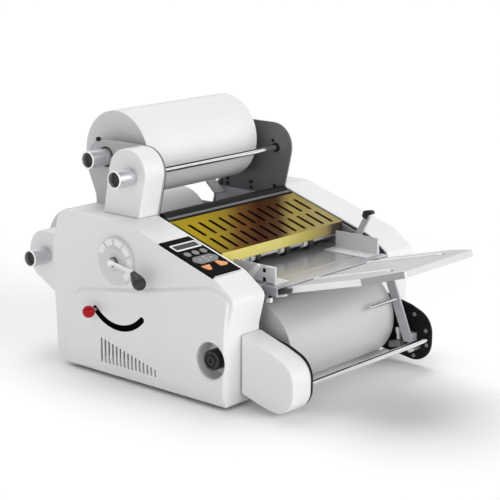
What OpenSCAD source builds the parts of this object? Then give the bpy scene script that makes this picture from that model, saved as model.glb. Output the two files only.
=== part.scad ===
// Desktop roll laminator with two film supplies, a rewind roll, a slotted heat guard and a feed table.
// X runs across the machine, Y from the feed side to the back, Z up from the bench.

/* [Frame] */
// Room between the end of a film roll and the bracket plate beside it
film_side = 24.5; // [22:0.5:36]
// Thickness of the two inner side plates
side_t = 3; // [2:0.5:4]
// Thickness of the film bracket plates
bracket_t = 4; // [3:0.5:6]
// Thickness of the base plate
base_t = 3; // [2:0.5:5]
// Height of the rubber feet
foot_h = 10; // [9:1:16]
// Radius of the rubber feet
foot_r = 14; // [10:1:18]
// Height of the lower edge of the side covers above the bench
cover_lift = 6; // [4:1:9]

/* [Side covers] */
// Width of one side cover, without its raised lower panel
cover_w = 86; // [80:1:96]
// Wall of the moulded covers
cover_wall = 3; // [2:0.5:4]
// Radius along the outer rim of a side cover
cover_edge_r = 5; // [3:0.5:8]
// How far the lower panel stands out
bulge = 5; // [3:0.5:8]
// Height of the flat top of the covers
cover_top_z = 317; // [312:1:322]
// Place of the front face of the covers
cover_front_y = -184; // [-188:1:-183]
// Place of the back face of the covers
cover_back_y = 271; // [268:1:280]

/* [Vents and recess] */
// Number of vent slots
vent_count = 15; // [8:1:16]
// Distance between vent slots
vent_pitch = 10.3; // [9:0.1:10.6]
// Width of one vent slot
vent_w = 4; // [3:0.5:5]
// Height of the tallest vent slot
vent_h = 50; // [40:1:56]
// Loss of height from one slot to the next
vent_step = 2.5; // [1:0.1:2.6]
// Radius of the bowl round the lower tension knob
bowl_r = 34.5; // [32:0.5:36]
// Depth of that bowl
bowl_depth = 40; // [34:1:44]

/* [Film brackets] */
// Radius of the rounded heads of the upper and rear brackets
lobe_r = 50; // [46:1:54]
// Thickness of the white bracket covers
bracket_cover_w = 50; // [44:1:54]
// Wall of the bracket covers
bracket_wall = 2.5; // [2:0.5:4]
// Radius of the small screws in the bracket plates
screw_r = 2.5; // [2:0.25:3]

/* [Film rolls] */
// Length of the film rolls
film_len = 321; // [300:1:340]
// Radius of the upper film roll
upper_film_r = 87.6; // [60:0.2:88]
// Radius of the lower film roll
lower_film_r = 88; // [60:0.5:88]
// How far the lower film roll sits to the right of the middle
lower_film_shift = 6; // [0:0.5:8]
// Radius of the rewind roll at the back
rear_film_r = 82; // [60:0.5:84]
// Radius of the mandrel bodies
mandrel_r = 19; // [16:0.5:22]
// Radius of the mandrel journals
journal_r = 8; // [7:0.25:9]
// Radial running clearance of shafts in their bores
run_fit = 0.05; // [0.03:0.01:0.09]
// Radial gap between a film core and its mandrel
core_fit = 0.2; // [0.1:0.05:0.4]

/* [Guide rods and knobs] */
// Radius of the chrome guide rods
rod_r = 6; // [5:0.25:7]
// Radius of the tension knobs
knob_r = 17.5; // [16:0.5:19]
// Length of the tension knobs
knob_len = 44; // [40:1:48]
// Wall round the recessed end of a knob
knob_rim = 3; // [2:0.5:4]
// Depth of the recessed end of a knob
knob_dish = 7; // [4:0.5:10]
// Gap between a turning or sliding piece and its neighbour
gap = 0.5; // [0.4:0.05:0.7]

/* [Laminating rollers] */
// Height of the pass line between the rollers
pass_z = 222; // [221:0.5:223]
// Radius of the heated roller
heat_r = 29; // [27:0.25:30]
// Radius of the rubber roller
rubber_r = 30.5; // [28:0.25:31]
// Radius of the two pull rollers
pull_r = 23.5; // [20:0.25:25]
// Gap left between the rollers of a pair
nip_gap = 0.5; // [0.4:0.1:0.8]
// Radius of the roller journals
roller_journal_r = 10; // [8:0.25:11]
// Outside radius of the roller bearings
bearing_r = 15; // [13:0.5:16]
// Gear module
gear_m = 2; // [2:1:2]
// Teeth on the roller gear
gear_teeth = 30; // [30:2:32]
// Teeth on the motor pinion
pinion_teeth = 15; // [15:1:16]

/* [Heat guard] */
// Thickness of the guard sheet
guard_t = 1.5; // [1:0.25:2]
// Height of the folded front lip
guard_lip = 22; // [16:1:23]
// Number of slots in each row
slot_count = 12; // [8:1:12]
// Bare width of the sheet beyond each end of the slot rows
slot_side = 9.9; // [6:0.1:20]
// Width of a slot
slot_w = 7; // [5:0.5:9]
// Length of a slot
slot_len = 46; // [40:1:48]

/* [Feed table] */
// Height of the table surface
table_z = 217.5; // [216:0.5:218]
// Thickness of the table sheet
table_t = 2.5; // [2:0.25:3]
// Height of the paper fences
fence_h = 34; // [28:1:38]
// Length of the paper fences
fence_len = 105; // [95:1:110]
// Distance of a paper fence at rest from the side of the table
fence_side = 28; // [26:0.5:60]
// Width of the hinged extension
ext_w = 287; // [270:1:300]
// Length of the hinged extension along its slope
ext_len = 240; // [225:1:250]
// Width of the extension's front edge
ext_front_w = 212; // [190:1:230]
// Upward slope of the extension
ext_tilt = 14.8; // [10:0.2:16]
// Height of the extension's folded rim
ext_rim = 13; // [10:0.5:15]

/* [Control panel] */
// Width of the control panel
panel_w = 75; // [72:0.5:75]
// Length of the control panel down the slope
panel_len = 134; // [130:1:136]
// Thickness of the panel overlay
panel_t = 1.2; // [1:0.1:1.6]
// Radius of the round keys
key_r = 7.5; // [6:0.25:8]
// How far the keys stand above the panel
key_proud = 1; // [0.8:0.1:1.4]
// Gap round each key
key_gap = 0.35; // [0.3:0.05:0.5]

/* [Dial and levers] */
// Radius of the pressure dial
dial_r = 47; // [44:0.5:48]
// Thickness of the pressure dial
dial_t = 8; // [7:0.5:9]
// Length of the crank arm from the dial's centre to the grip
crank_len = 56; // [50:1:60]
// Length of the crank's grip
grip_len = 54; // [50:1:62]
// Radius of the grip at its full end
grip_r = 13; // [11:0.5:14]
// Radius of the curved slot of the anti-curl lever
curl_r = 87; // [84:0.5:88]
// Half width of that slot
curl_slot = 5.5; // [5:0.25:6]
// Radius of the lever's pin
curl_pin_r = 4; // [3.5:0.25:4.2]
// Radius of the ball on the lever
ball_r = 12; // [10:0.5:13]

/* [Hidden] */
$fn = 64;
arc_steps = 8;
cut = 1;

// Planes across the machine, as distances from its middle
plate_gap = film_len + 2 * film_side;
plate_x = plate_gap / 2;
bracket_x = plate_x + bracket_t;
side_x = plate_x - side_t;
cover_x = bracket_x + cover_w;
bulge_x = cover_x + bulge;
bracket_cover_x = bracket_x + bracket_cover_w;

// Axes that run across the machine, as [Y, Z]
front_axis = [90, 396];
upper_axis = [208.5, 413];
lower_axis = [-147, 91];
lower_rod_axis = [-302, 56.6];
rear_axis = [337, 204];
heat_axis = [-10, pass_z + heat_r + nip_gap / 2];
rubber_axis = [-10, pass_z - rubber_r - nip_gap / 2];
pull_top_axis = [130, pass_z + pull_r + nip_gap / 2];
pull_low_axis = [130, pass_z - pull_r - nip_gap / 2];
press_axis = [-74, 237];
dial_axis = [93, 238];
curl_axis = [89, 196];
nip_axis = [-128, 236];

// Outline of a side cover, counterclockwise, as [Y, Z, corner radius]
nose_y = -203;
slope_foot = [-155, 246];
slope_head_y = 73;
slope_deg = atan2(cover_top_z - slope_foot[1], slope_head_y - slope_foot[0]);
cover_outline = [[cover_front_y, cover_lift, 4], [cover_back_y, cover_lift, 34], [cover_back_y + 7, 240, 60],
    [cover_back_y - 13, cover_top_z, 32], [slope_head_y, cover_top_z, 60], [slope_foot[0], slope_foot[1], 60],
    [nose_y, 212, 17], [cover_front_y - 3, 150, 70]];
// Outline of the raised lower panel of a side cover
bulge_outline = [[cover_front_y + 1, cover_lift + 8, 8], [205, cover_lift + 8, 30], [212, 176, 34],
    [40, 200, 200], [-150, 232, 30], [nose_y + 9, 210, 12], [cover_front_y - 2, 150, 60]];

// Inner side plates follow the cover from inside
side_inset = 6;
side_plate_z = foot_h + base_t;
side_back_y = 258;
// The base plate is wide under the covers, and narrow behind their open undersides
cover_mouth_y = cover_back_y - 37;
base_half = cover_x - 15;
base_front_y = cover_front_y + 9;
base_wide_y = cover_mouth_y - 2;
base_back_y = side_back_y - 6;
side_step = [66, cover_top_z - 22];

// Sloped guard: its rear pivot and its front edge
guard_pivot = [40, cover_top_z - 13];
guard_front_y = -90;
guard_half = side_x - gap;
guard_pin_r = 3;
slot_pitch = 2 * (guard_half - slot_side) / slot_count;
guard_top_z = function (y) cover_top_z + (y - slope_head_y) * tan(slope_deg);
guard_drop = 0.5;
slot_row_y = [-4.5, -60.5];
// Section of the bar behind the guard, from the guard's pivot line and the covers' top
cross_bar_shape = [[6, -18], [32, -18], [32, 1], [20, 1], [16, -7], [6, -9]];

// Upper brackets
upper_foot_z = 268;
upper_outline = [[78.5, upper_foot_z, 2], [238, upper_foot_z, 2], [239, 335, 40], [259, 378, 25],
    [259, upper_axis[1] + 35, 44], [front_axis[0] - 54.5, upper_axis[1] + 35, lobe_r - 1]];
upper_cover_outline = [[70, cover_top_z, 2], [167, cover_top_z, 2], [141, upper_axis[1] + 34, lobe_r - 5],
    [38.5, upper_axis[1] + 34, lobe_r - 5]];

upper_screw_y = [93, 159, 226];
upper_screw_drop = [15, 3];

// Lower brackets
lower_back_y = -160;
screw_rim = 1.5;
screw_head_t = 2;
lower_outline = [[lower_back_y, 22, 4], [lower_back_y, 143, 4], [-262, 121, 40], [-313, 100, 46],
    [-312, 12, 42], [-268, 9, 40], [-236, 14, 30]];
lower_cover_back_y = cover_front_y - 4;
lower_cover_outline = [[lower_cover_back_y, 29, 2], [lower_cover_back_y, 139, 2], [-258, 117, 40],
    [-310, 96, 44], [-309, 11, 40], [-266, 9, 36], [-232, 16, 30]];

lower_screws = [[-272, 103], [-300, 74], [-272, 18]];
screw_head_r = screw_r + screw_rim;

// Rear brackets
rear_front_y = 226;
rear_top_z = rear_axis[1] + lobe_r;
rear_outline = [[rear_front_y, 110, 4], [300, 120, 30], [rear_axis[0] + lobe_r, rear_axis[1] - 38, 46],
    [rear_axis[0] + lobe_r, rear_top_z, lobe_r - 4], [rear_front_y, rear_top_z, 4]];
rear_cover_y = cover_back_y + 8;
rear_cover_outline = [[rear_cover_y, 112, 2], [302, 124, 30], [rear_axis[0] + lobe_r, rear_axis[1] - 36, 44],
    [rear_axis[0] + lobe_r, rear_top_z - 1, lobe_r - 6], [rear_cover_y, rear_top_z - 1, 2]];
holder_sheet = [[236, 281], [262, 305]];
holder_w = 28;
holder_t = 4;

// Knob places, as [X of the mounting face, X of the tip]
upper_knob_x = bracket_x + gap;
outer_knob_x = bracket_cover_x + gap;
bowl_floor_x = bulge_x - bowl_depth;
lower_knob_x = bowl_floor_x + gap;
lower_knob_len = bowl_depth - gap - 1;
shaft_in_knob = 22;
mandrel_half = side_x - 4;

// Rollers and drive
roller_half = side_x - 5;
bearing_flange = 2;
gear_x = plate_x + 6;
gear_w = 11;
pinion_w = gear_w + 3;
gear_pitch_r = gear_m * gear_teeth / 2;
pinion_pitch_r = gear_m * pinion_teeth / 2;
drive_dir = -38;
gear_far = gear_pitch_r + pinion_pitch_r;
pinion_axis = [heat_axis[0] + gear_far * cos(drive_dir), heat_axis[1] + gear_far * sin(drive_dir)];
pinion_shaft_r = 4;
motor_r = 30;
motor_len = 52;
motor_flange_t = 4;
motor_x = gear_x + pinion_w + 2;
motor_post_r = 4;
board = [120, 90];
board_t = 1.6;
board_at = [-40, 70];
board_post = 6.4;
post_inset = 8;
post_r = 3;
block_h = 14;
board_blocks = [[20, 18, 28, 34], [66, 14, 20, 20], [60, 52, 34, 22]];
press_shaft_r = 5;
press_wheel_r = 15;
press_wheel_w = 10;
press_wheel_x = [-73, 14, 86];

// Feed table and its hinged extension
table_back_y = -48;
table_front_y = -214;
table_half = side_x;
nose_step = 12;
table_nose_half = table_half - nose_step;
table_rim = 14;
table_slot_y = -172;
table_slot_half = 2.8;
slot_end = 22;
table_slot_x = table_half - slot_end;
fence_x = table_half - fence_side;
fence_back_y = -95;
fence_foot = 38;
fence_t = 1.5;
fence_fold = 5;
fence_gap = 0.3;
fence_pin_r = 2.4;
fence_nut_r = 6;
fence_nut_t = 4;
ext_pivot = [-222, table_z - 7];
ext_t = 2;
ext_pin_r = 2.5;
ext_start = 5;
ext_side_len = 168;
ext_half = ext_w / 2;
lug_t = 4;
lug_r = 6;
lug_top = 3;
lug_len = 20;
lug_gap = 0.5;
strip_x = 81;
strip_w = 8;
strip_t = 1.6;
strip_from = 12;
strip_to = 184;
arm_t = 4;
arm_top_z = table_z - table_t - 2;
arm_x = table_nose_half - table_t - arm_t;
arm_w = 22;
arm_head_y = -207;
arm_foot = [-273, 50];
arm_block = 16;
arm_block_at = arm_foot + [3, 8];
hanger = [[-172, arm_top_z], [-194, arm_top_z], [-194, 187], [-181, 187]];
stub_axis = [-243, 134];
stub_r = 3.5;
tie_axes = [[60, 60], [215, 150]];
tie_r = 7;
stub_len = 84;

// Control panel frame: origin on the slope at the panel's back right corner
panel_right_x = bracket_x + 6;
panel_back_y = -17;
panel_back_z = cover_top_z + (panel_back_y - slope_head_y) * tan(slope_deg);
key_stem = cover_wall + 1.5;
window_w = 62;
window_len = 16;
window_at = 29;
key_row = 56;
key_x = [60, 38.5, 17];
pad_size = [62, 25];
pad_at = [38.5, 82];
run_at = [59, 108];
stop_at = [18, 106];
run_shape = [[-12, -7], [12, -7], [6, 9], [-3, 9]];
stop_shape = [[-12, 4], [3, -10], [12, -9], [12, 8], [-4, 9]];

// Pressure crank and anti-curl lever
dial_x = cover_x + dial_t;
hub_r = 9;
hub_len = 14;
crank_drop = 10;
crank_bore_r = 5;
arm_bar_r = 4.5;
grip_drop = 24;
grip_lean = 24;
curl_rest = 44;
curl_half_span = 46;
curl_bar_t = 4;
curl_stud_r = 4;
curl_boss_r = 9;
curl_bar_x = cover_x - cover_wall - gap;
ball_out = 20;
ball_x = bulge_x + ball_out;
ball_socket = 3;
nip_lever_t = 5;
nip_lever_w = 13;
nip_lever_len = 66;
nip_lean = 30;
nip_pin_r = 3;
nip_cap_r = 7;

// The origin is under the middle of the whole machine's box
x_low = -(dial_x + gap + hub_len / 2 + sin(grip_lean) * (grip_len - grip_r) + grip_r);
x_high = bulge_x;
y_low = ext_pivot[0] - ext_len * cos(ext_tilt);
y_high = rear_axis[0] + rear_film_r;
mid_x = (x_low + x_high) / 2;
mid_y = (y_low + y_high) / 2;

function unit(v) = v / norm(v);
function left_of(v) = [-v[1], v[0]];
function flat(p) = [p[0], p[1]];
function wrap(i, n) = (i + n) % n;
function edge(p, i) = unit(flat(p[wrap(i + 1, len(p))]) - flat(p[i]));
function spun(v, a) = [v[0] * cos(a) - v[1] * sin(a), v[0] * sin(a) + v[1] * cos(a)];
function bend(u, v) = atan2(u[0] * v[1] - u[1] * v[0], u * v);
// Corner i of an outline, drawn in by d and rounded to its own radius
function corner(p, i, d) =
    let (before = left_of(edge(p, wrap(i - 1, len(p)))), after = left_of(edge(p, i)),
        turn = bend(before, after), side = turn < 0 ? -1 : 1,
        lean = (before + after) / (1 + before * after),
        r = max(p[i][2] - side * d, 0.5), centre = flat(p[i]) + lean * (d + side * r))
    [for (k = [0 : arc_steps]) centre - side * r * spun(before, turn * k / arc_steps)];
function rounded(p, d = 0) = [for (i = [0 : len(p) - 1]) each corner(p, i, d)];

// A flat shape in the Y-Z plane, thickened from x0 to x1
module slab(x0, x1) {
    translate([x0, 0, 0])
        rotate([90, 0, 90])
            linear_extrude(x1 - x0)
                children();
}

// A round bar along X
module bar(x0, x1, axis, r, sides = $fn) {
    translate([x0, axis[0], axis[1]])
        rotate([0, 90, 0])
            cylinder(h = x1 - x0, r = r, $fn = sides);
}

// The children and their mirror image on the other side of the machine
module both_sides() {
    children();
    mirror([1, 0, 0])
        children();
}

// Moves the machine so that its box stands centred on the origin
module placed() {
    translate([-mid_x, -mid_y, 0])
        children();
}

// A closed skin over rings of one outline, each given as [X, inset]
module loft(outline, rings) {
    count = len(outline) * (arc_steps + 1);
    points = [for (ring = rings) for (p = rounded(outline, ring[1])) [ring[0], p[0], p[1]]];
    last = len(rings) - 1;
    sides = [for (i = [0 : last - 1]) for (j = [0 : count - 1])
        let (a = i * count + j, b = i * count + (j + 1) % count)
        each [[a, b + count, b], [a, a + count, b + count]]];
    low = [for (j = [0 : count - 1]) j];
    high = [for (j = [count - 1 : -1 : 0]) last * count + j];
    polyhedron(points = points, faces = concat([low], sides, [high]));
}

// Rings of a rim that is rounded by r up to the plane x
function rim_rings(x, r) = [for (a = [0 : 30 : 90]) [x - r + r * sin(a), r * (1 - cos(a))]];

// The moulded shell of one side cover, on the +X side, with its raised lower panel
module cover_shell() {
    difference() {
        loft(cover_outline, concat([[bracket_x, 0]], rim_rings(cover_x, cover_edge_r)));
        cover_cavity();
    }
    loft(bulge_outline, concat([[cover_x - cover_wall / 2, 0]], rim_rings(bulge_x, bulge)));
}

module cover_cavity() {
    slab(bracket_x - cut, cover_x - cover_wall) {
        polygon(rounded(cover_outline, cover_wall));
        translate([cover_front_y + cover_wall, cover_lift - cut])
            square([cover_mouth_y - cover_front_y - cover_wall, 2 * cover_wall + cut]);
    }
}

// Upright slots with round ends, each a step lower than the last
module vent_slots() {
    vent_start_y = 137;
    vent_z = 30;
    r = vent_w / 2;
    for (i = [0 : vent_count - 1])
        hull()
            for (z = [vent_z + r, vent_z + vent_h - i * vent_step - r])
                bar(cover_x - cover_wall - cut, bulge_x + cut, [vent_start_y - i * vent_pitch, z], r, 16);
}

module arc_slot() {
    for (a = [-curl_half_span, curl_half_span])
        bar(cover_x - cover_wall - cut, bulge_x + cut,
            curl_axis + curl_r * [sin(a), -cos(a)], curl_slot);
    translate([cover_x - cover_wall - cut, curl_axis[0], curl_axis[1]])
        rotate([0, 90, 0])
            rotate([0, 0, -curl_half_span])
                rotate_extrude(angle = 2 * curl_half_span)
                    translate([curl_r - curl_slot, 0])
                        square([2 * curl_slot, bulge + cover_wall + 2 * cut]);
}

// Places a shape drawn in the panel's own plane: X to the outside, Y down the slope, Z out of it
module on_panel() {
    translate([-panel_right_x, panel_back_y, panel_back_z])
        rotate([slope_deg, 0, 0])
            rotate([0, 0, 180])
                children();
}

module panel_shape(at, size) {
    translate([at[0] - size[0] / 2, at[1] - size[1] / 2])
        square(size);
}

module pad_outline(grow) {
    w = pad_size[0] / 2 + grow;
    h = pad_size[1] / 2 + grow;
    c = 9;
    translate(pad_at)
        polygon([[-w, -h + c], [-w + c, -h], [w - c, -h], [w, -h + c], [w, h - c], [w - c, h], [-w + c, h],
            [-w, h - c]]);
}

module fat_outline(shape, at, grow) {
    ring = [for (p = shape) [p[0], p[1], 2]];
    translate(at)
        polygon(rounded(ring, -grow));
}

module key_holes(grow) {
    for (x = key_x)
        translate([x, key_row])
            circle(key_r + grow);
    pad_outline(grow);
    fat_outline(run_shape, run_at, grow);
    fat_outline(stop_shape, stop_at, grow);
}

module key_body() {
    color([0.45, 0.45, 0.47])
        placed()
            on_panel()
                translate([0, 0, -key_stem])
                    linear_extrude(key_stem + panel_t + key_proud)
                        children();
}

module base_plate() {
    color([0.6, 0.6, 0.62])
        placed()
            difference() {
                union() {
                    translate([-base_half, base_front_y, foot_h])
                        cube([2 * base_half, base_wide_y - base_front_y, base_t]);
                    translate([-plate_x, base_front_y, foot_h])
                        cube([2 * plate_x, base_back_y - base_front_y, base_t]);
                }
                translate([-side_x + 10, cover_front_y, foot_h - cut])
                    cube([2 * (side_x - 10), lower_axis[0] + lower_film_r + 14 - cover_front_y, base_t + 2 * cut]);
            }
}

module feet() {
    foot_x = (bracket_x + cover_x) / 2;
    color([0.12, 0.12, 0.12])
        placed()
            for (x = [-foot_x, foot_x], y = [cover_front_y + 34, cover_back_y - 68])
                translate([x, y, 0])
                    cylinder(h = foot_h, r = foot_r);
}

module side_plate() {
    slab(side_x, plate_x)
        difference() {
            intersection() {
                polygon(rounded(cover_outline, side_inset));
                translate([cover_front_y, side_plate_z])
                    square([side_back_y - cover_front_y, cover_top_z]);
            }
            translate(side_step)
                square([side_back_y, cover_top_z]);
        }
}

module side_plate_holes() {
    for (a = [heat_axis, rubber_axis, pull_top_axis, pull_low_axis])
        bar(side_x - cut, plate_x + cut, a, bearing_r);
    bar(side_x - cut, plate_x + cut, guard_pivot, guard_pin_r + run_fit);
    bar(side_x - cut, plate_x + cut, press_axis, press_shaft_r + run_fit);
    bar(side_x - cut, plate_x + cut, lower_axis, journal_r + run_fit);
}

module side_plates() {
    color([0.55, 0.56, 0.58])
        placed() {
            mirror([1, 0, 0])
                difference() {
                    side_plate();
                    side_plate_holes();
                }
            difference() {
                side_plate();
                side_plate_holes();
                bar(side_x - cut, plate_x + cut, nip_axis, nip_pin_r + run_fit);
            }
        }
}

module left_cover() {
    shaft_x = bracket_x - cut;
    color([0.88, 0.88, 0.89])
        placed() {
            mirror([1, 0, 0])
                difference() {
                    union() {
                        cover_shell();
                        bar(bowl_floor_x - cover_wall, cover_x, lower_axis, bowl_r + 2);
                    }
                    bar(bowl_floor_x, bulge_x + cut, lower_axis, bowl_r);
                    bar(shaft_x, bowl_floor_x + cut, lower_axis, journal_r + 1);
                    bar(cover_x, bulge_x + cut, dial_axis, dial_r + gap);
                    bar(cover_x - cover_wall - cut, bulge_x, dial_axis, crank_bore_r + gap);
                    bar(cover_x - cover_wall - cut, bulge_x, curl_axis, curl_stud_r + gap);
                    arc_slot();
                    vent_slots();
                }
        }
}

module left_cover_cut() {
    difference() {
        left_cover();
        placed()
            on_panel()
                translate([0, 0, -2 * key_stem])
                    linear_extrude(3 * key_stem)
                        key_holes(key_gap);
    }
}

module right_cover() {
    color([0.88, 0.88, 0.89])
        placed()
            difference() {
                cover_shell();
                vent_slots();
            }
}

module rear_panel() {
    rear_panel_y = 244;
    rear_panel_top = pass_z - 26;
    color([0.78, 0.78, 0.8])
        placed()
            difference() {
                translate([-side_x, rear_panel_y, side_plate_z])
                    cube([2 * side_x, side_t, rear_panel_top - side_plate_z]);
                translate([90, rear_panel_y - cut, 50])
                    cube([30, side_t + 2 * cut, 24]);
            }
}

module top_cross_bar() {
    color([0.2, 0.2, 0.22])
        placed()
            slab(-side_x, side_x)
                polygon([for (p = cross_bar_shape) [guard_pivot[0] + p[0], cover_top_z + p[1]]]);
}

module support_rods() {
    color([0.75, 0.75, 0.77])
        placed() {
            for (a = tie_axes)
                bar(-side_x, side_x, a, tie_r);
            bar(arm_x - stub_len, arm_x, stub_axis, stub_r);
        }
}

module upper_plates() {
    color([0.28, 0.28, 0.3])
        placed()
            both_sides()
                difference() {
                    slab(plate_x, bracket_x)
                        polygon(rounded(upper_outline));
                    bar(plate_x - cut, bracket_x + cut, front_axis, rod_r + run_fit);
                    bar(plate_x - cut, bracket_x + cut, upper_axis, journal_r + run_fit);
                    for (p = upper_screws())
                        bar(plate_x - cut, bracket_x + cut, p, screw_r);
                }
}

function upper_screws() = [for (y = upper_screw_y) for (d = upper_screw_drop) [y, cover_top_z - d]];

module bracket_shell(outline, axis, bore) {
    mirror([1, 0, 0])
        difference() {
            loft(outline, concat([[bracket_x, 0]], rim_rings(bracket_cover_x, 3)));
            slab(bracket_x - cut, bracket_cover_x - bracket_wall)
                polygon(rounded(outline, bracket_wall));
            bar(bracket_x, bracket_cover_x + cut, axis, bore);
        }
}

module upper_bracket_cover() {
    color([0.9, 0.9, 0.91])
        placed()
            bracket_shell(upper_cover_outline, front_axis, rod_r + run_fit);
}

module lower_plates() {
    color([0.12, 0.12, 0.13])
        placed()
            both_sides()
                difference() {
                    slab(plate_x, bracket_x)
                        polygon(rounded(lower_outline));
                    bar(plate_x - cut, bracket_x + cut, lower_rod_axis, rod_r + run_fit);
                    for (p = lower_screws)
                        bar(plate_x - cut, bracket_x + cut, p, screw_r);
                }
}

module lower_bracket_cover() {
    color([0.9, 0.9, 0.91])
        placed()
            mirror([1, 0, 0])
                difference() {
                    loft(lower_cover_outline, concat([[bracket_x, 0]], rim_rings(bracket_cover_x, 3)));
                    slab(bracket_x - cut, bracket_cover_x - bracket_wall)
                        polygon(rounded(lower_cover_outline, bracket_wall));
                }
}

module rear_plates() {
    color([0.7, 0.7, 0.72])
        placed() {
            both_sides()
                difference() {
                    slab(plate_x, bracket_x)
                        polygon(rounded(rear_outline));
                    bar(plate_x - cut, bracket_x + cut, rear_axis, journal_r + run_fit);
                }
            slab(side_x - holder_w, side_x)
                sloped_sheet();
        }
}

// Section of the sloped sheet that holds the end of the rewound film
module sloped_sheet() {
    run = holder_sheet[1] - holder_sheet[0];
    translate(holder_sheet[0])
        rotate(atan2(run[1], run[0]))
            square([norm(run), holder_t]);
}

module rear_bracket_cover() {
    color([0.86, 0.86, 0.87])
        placed()
            bracket_shell(rear_cover_outline, rear_axis, journal_r + run_fit);
}

module control_panel() {
    color([0.05, 0.05, 0.05])
        placed()
            on_panel()
                linear_extrude(panel_t)
                    difference() {
                        square([panel_w, panel_len]);
                        key_holes(key_gap);
                        panel_shape([panel_w / 2, window_at], [window_w, window_len]);
                    }
}

module display_window() {
    color([0.2, 0.22, 0.22])
        placed()
            on_panel()
                linear_extrude(panel_t)
                    panel_shape([panel_w / 2, window_at], [window_w, window_len]);
}

module dial_plate() {
    tiles = 10;
    tile_t = 1.2;
    color([0.88, 0.88, 0.88])
        placed()
            mirror([1, 0, 0])
                difference() {
                    union() {
                        bar(cover_x, dial_x - tile_t, dial_axis, dial_r);
                        translate([dial_x - tile_t, dial_axis[0], dial_axis[1]])
                            rotate([0, 90, 0])
                                for (i = [0 : tiles - 1])
                                    rotate([0, 0, i * 360 / tiles])
                                        rotate_extrude(angle = 24)
                                            translate([dial_r - 15, 0])
                                                square([13, tile_t]);
                        bar(dial_x - tile_t, dial_x, dial_axis, dial_r - 20);
                        bar(curl_bar_x - curl_bar_t - 2, cover_x + cut, curl_axis, curl_stud_r);
                    }
                    bar(cover_x - cut, dial_x + cut, dial_axis, crank_bore_r + run_fit);
                }
}

module feed_table() {
    rim_z = table_z - table_t - table_rim;
    color([0.72, 0.72, 0.73])
        placed() {
            difference() {
                union() {
                    translate([-table_half, cover_front_y + 6, table_z - table_t])
                        cube([2 * table_half, table_back_y - cover_front_y - 6, table_t]);
                    translate([-table_nose_half, table_front_y, table_z - table_t])
                        cube([2 * table_nose_half, cover_front_y + 6 - table_front_y, table_t]);
                    both_sides()
                        translate([table_nose_half - table_t, table_front_y, rim_z])
                            cube([table_t, cover_front_y + 6 - table_front_y, table_rim + table_t]);
                    both_sides()
                        translate([table_half - table_t, cover_front_y + 6, rim_z])
                            cube([table_t, table_back_y - cover_front_y - 36, table_rim + table_t]);
                    both_sides()
                        extension_lug();
                }
                translate([-table_slot_x, table_slot_y - table_slot_half, table_z - table_t - cut])
                    cube([2 * table_slot_x, 2 * table_slot_half, table_t + 2 * cut]);
            }
        }
}

// A lug on the table's front edge with the pin on which the extension turns
module extension_lug() {
    lug_x = ext_half - ext_t - lug_gap - lug_t;
    translate([lug_x, ext_pivot[0], ext_pivot[1] - lug_r])
        cube([lug_t, lug_len, lug_r + lug_top]);
    translate([lug_x, table_front_y + cut, ext_pivot[1] - lug_r])
        cube([lug_t, ext_pivot[0] + lug_len - table_front_y - cut, table_z - table_t / 2 - ext_pivot[1] + lug_r]);
    bar(lug_x, lug_x + lug_t, ext_pivot, lug_r);
    bar(lug_x, ext_half + 1, ext_pivot, ext_pin_r);
}

// The long arm down to the right bracket plate, and the short hanger on the left
module table_arms() {
    h = arm_w / 2;
    color([0.66, 0.66, 0.68])
        placed() {
            slab(arm_x, arm_x + arm_t)
                polygon([[arm_head_y - h, arm_top_z], [arm_foot[0] - h, arm_foot[1]],
                    [arm_foot[0] + h, arm_foot[1]], [arm_head_y + h, arm_top_z]]);
            translate([arm_x + arm_t, arm_block_at[0] - arm_block / 2, arm_block_at[1] - arm_block / 2])
                cube([plate_x - arm_x - arm_t, arm_block, arm_block]);
            slab(-arm_x - arm_t, -arm_x)
                polygon(hanger);
        }
}

module power_inlet() {
    color([0.08, 0.08, 0.08])
        placed()
            translate([90, 226, 50])
                difference() {
                    union() {
                        cube([30, 21, 24]);
                        translate([-4, 21, -4])
                            cube([38, 3, 32]);
                    }
                    translate([4, 6, 4])
                        cube([22, 21, 16]);
                    for (x = [9, 15, 21])
                        translate([x - 1, 2, 10])
                            cube([2, 6, 5]);
                }
}

module drive_motor() {
    color([0.25, 0.25, 0.27])
        placed() {
            bar(motor_x, motor_x + motor_len, pinion_axis, motor_r);
            difference() {
                translate([motor_x, pinion_axis[0] - motor_r, pinion_axis[1] - motor_r - 8])
                    cube([motor_flange_t, 2 * motor_r + 14, 2 * motor_r]);
                bar(motor_x - cut, motor_x + motor_flange_t + cut, pinion_axis, pinion_shaft_r + run_fit);
            }
            for (p = [[-motor_r + 6, -motor_r - 2], [motor_r + 8, -motor_r - 2], [motor_r + 8, motor_r - 14]])
                bar(plate_x, motor_x, pinion_axis + p, motor_post_r);
        }
}

module motor_body_cut() {
    difference() {
        drive_motor();
        placed()
            bar(motor_x - cut, motor_x + 20, pinion_axis, pinion_shaft_r + run_fit);
    }
}

module circuit_board() {
    color([0.1, 0.35, 0.18])
        placed() {
            translate([-plate_x - board_post - board_t, board_at[0], board_at[1]])
                cube([board_t, board[0], board[1]]);
            for (y = [post_inset, board[0] - post_inset], z = [post_inset, board[1] - post_inset])
                bar(-plate_x - board_post, -plate_x, board_at + [y, z], post_r);
            for (b = board_blocks)
                translate([-plate_x - board_post - board_t - block_h, board_at[0] + b[0], board_at[1] + b[1]])
                    cube([block_h, b[2], b[3]]);
        }
}

module roller_bearings() {
    color([0.8, 0.75, 0.55])
        placed()
            both_sides()
                for (a = [heat_axis, rubber_axis, pull_top_axis, pull_low_axis])
                    difference() {
                        union() {
                            bar(side_x, plate_x, a, bearing_r);
                            bar(side_x - bearing_flange, side_x, a, bearing_r + 2);
                        }
                        bar(side_x - bearing_flange - cut, plate_x + cut, a, roller_journal_r + run_fit);
                    }
}

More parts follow.
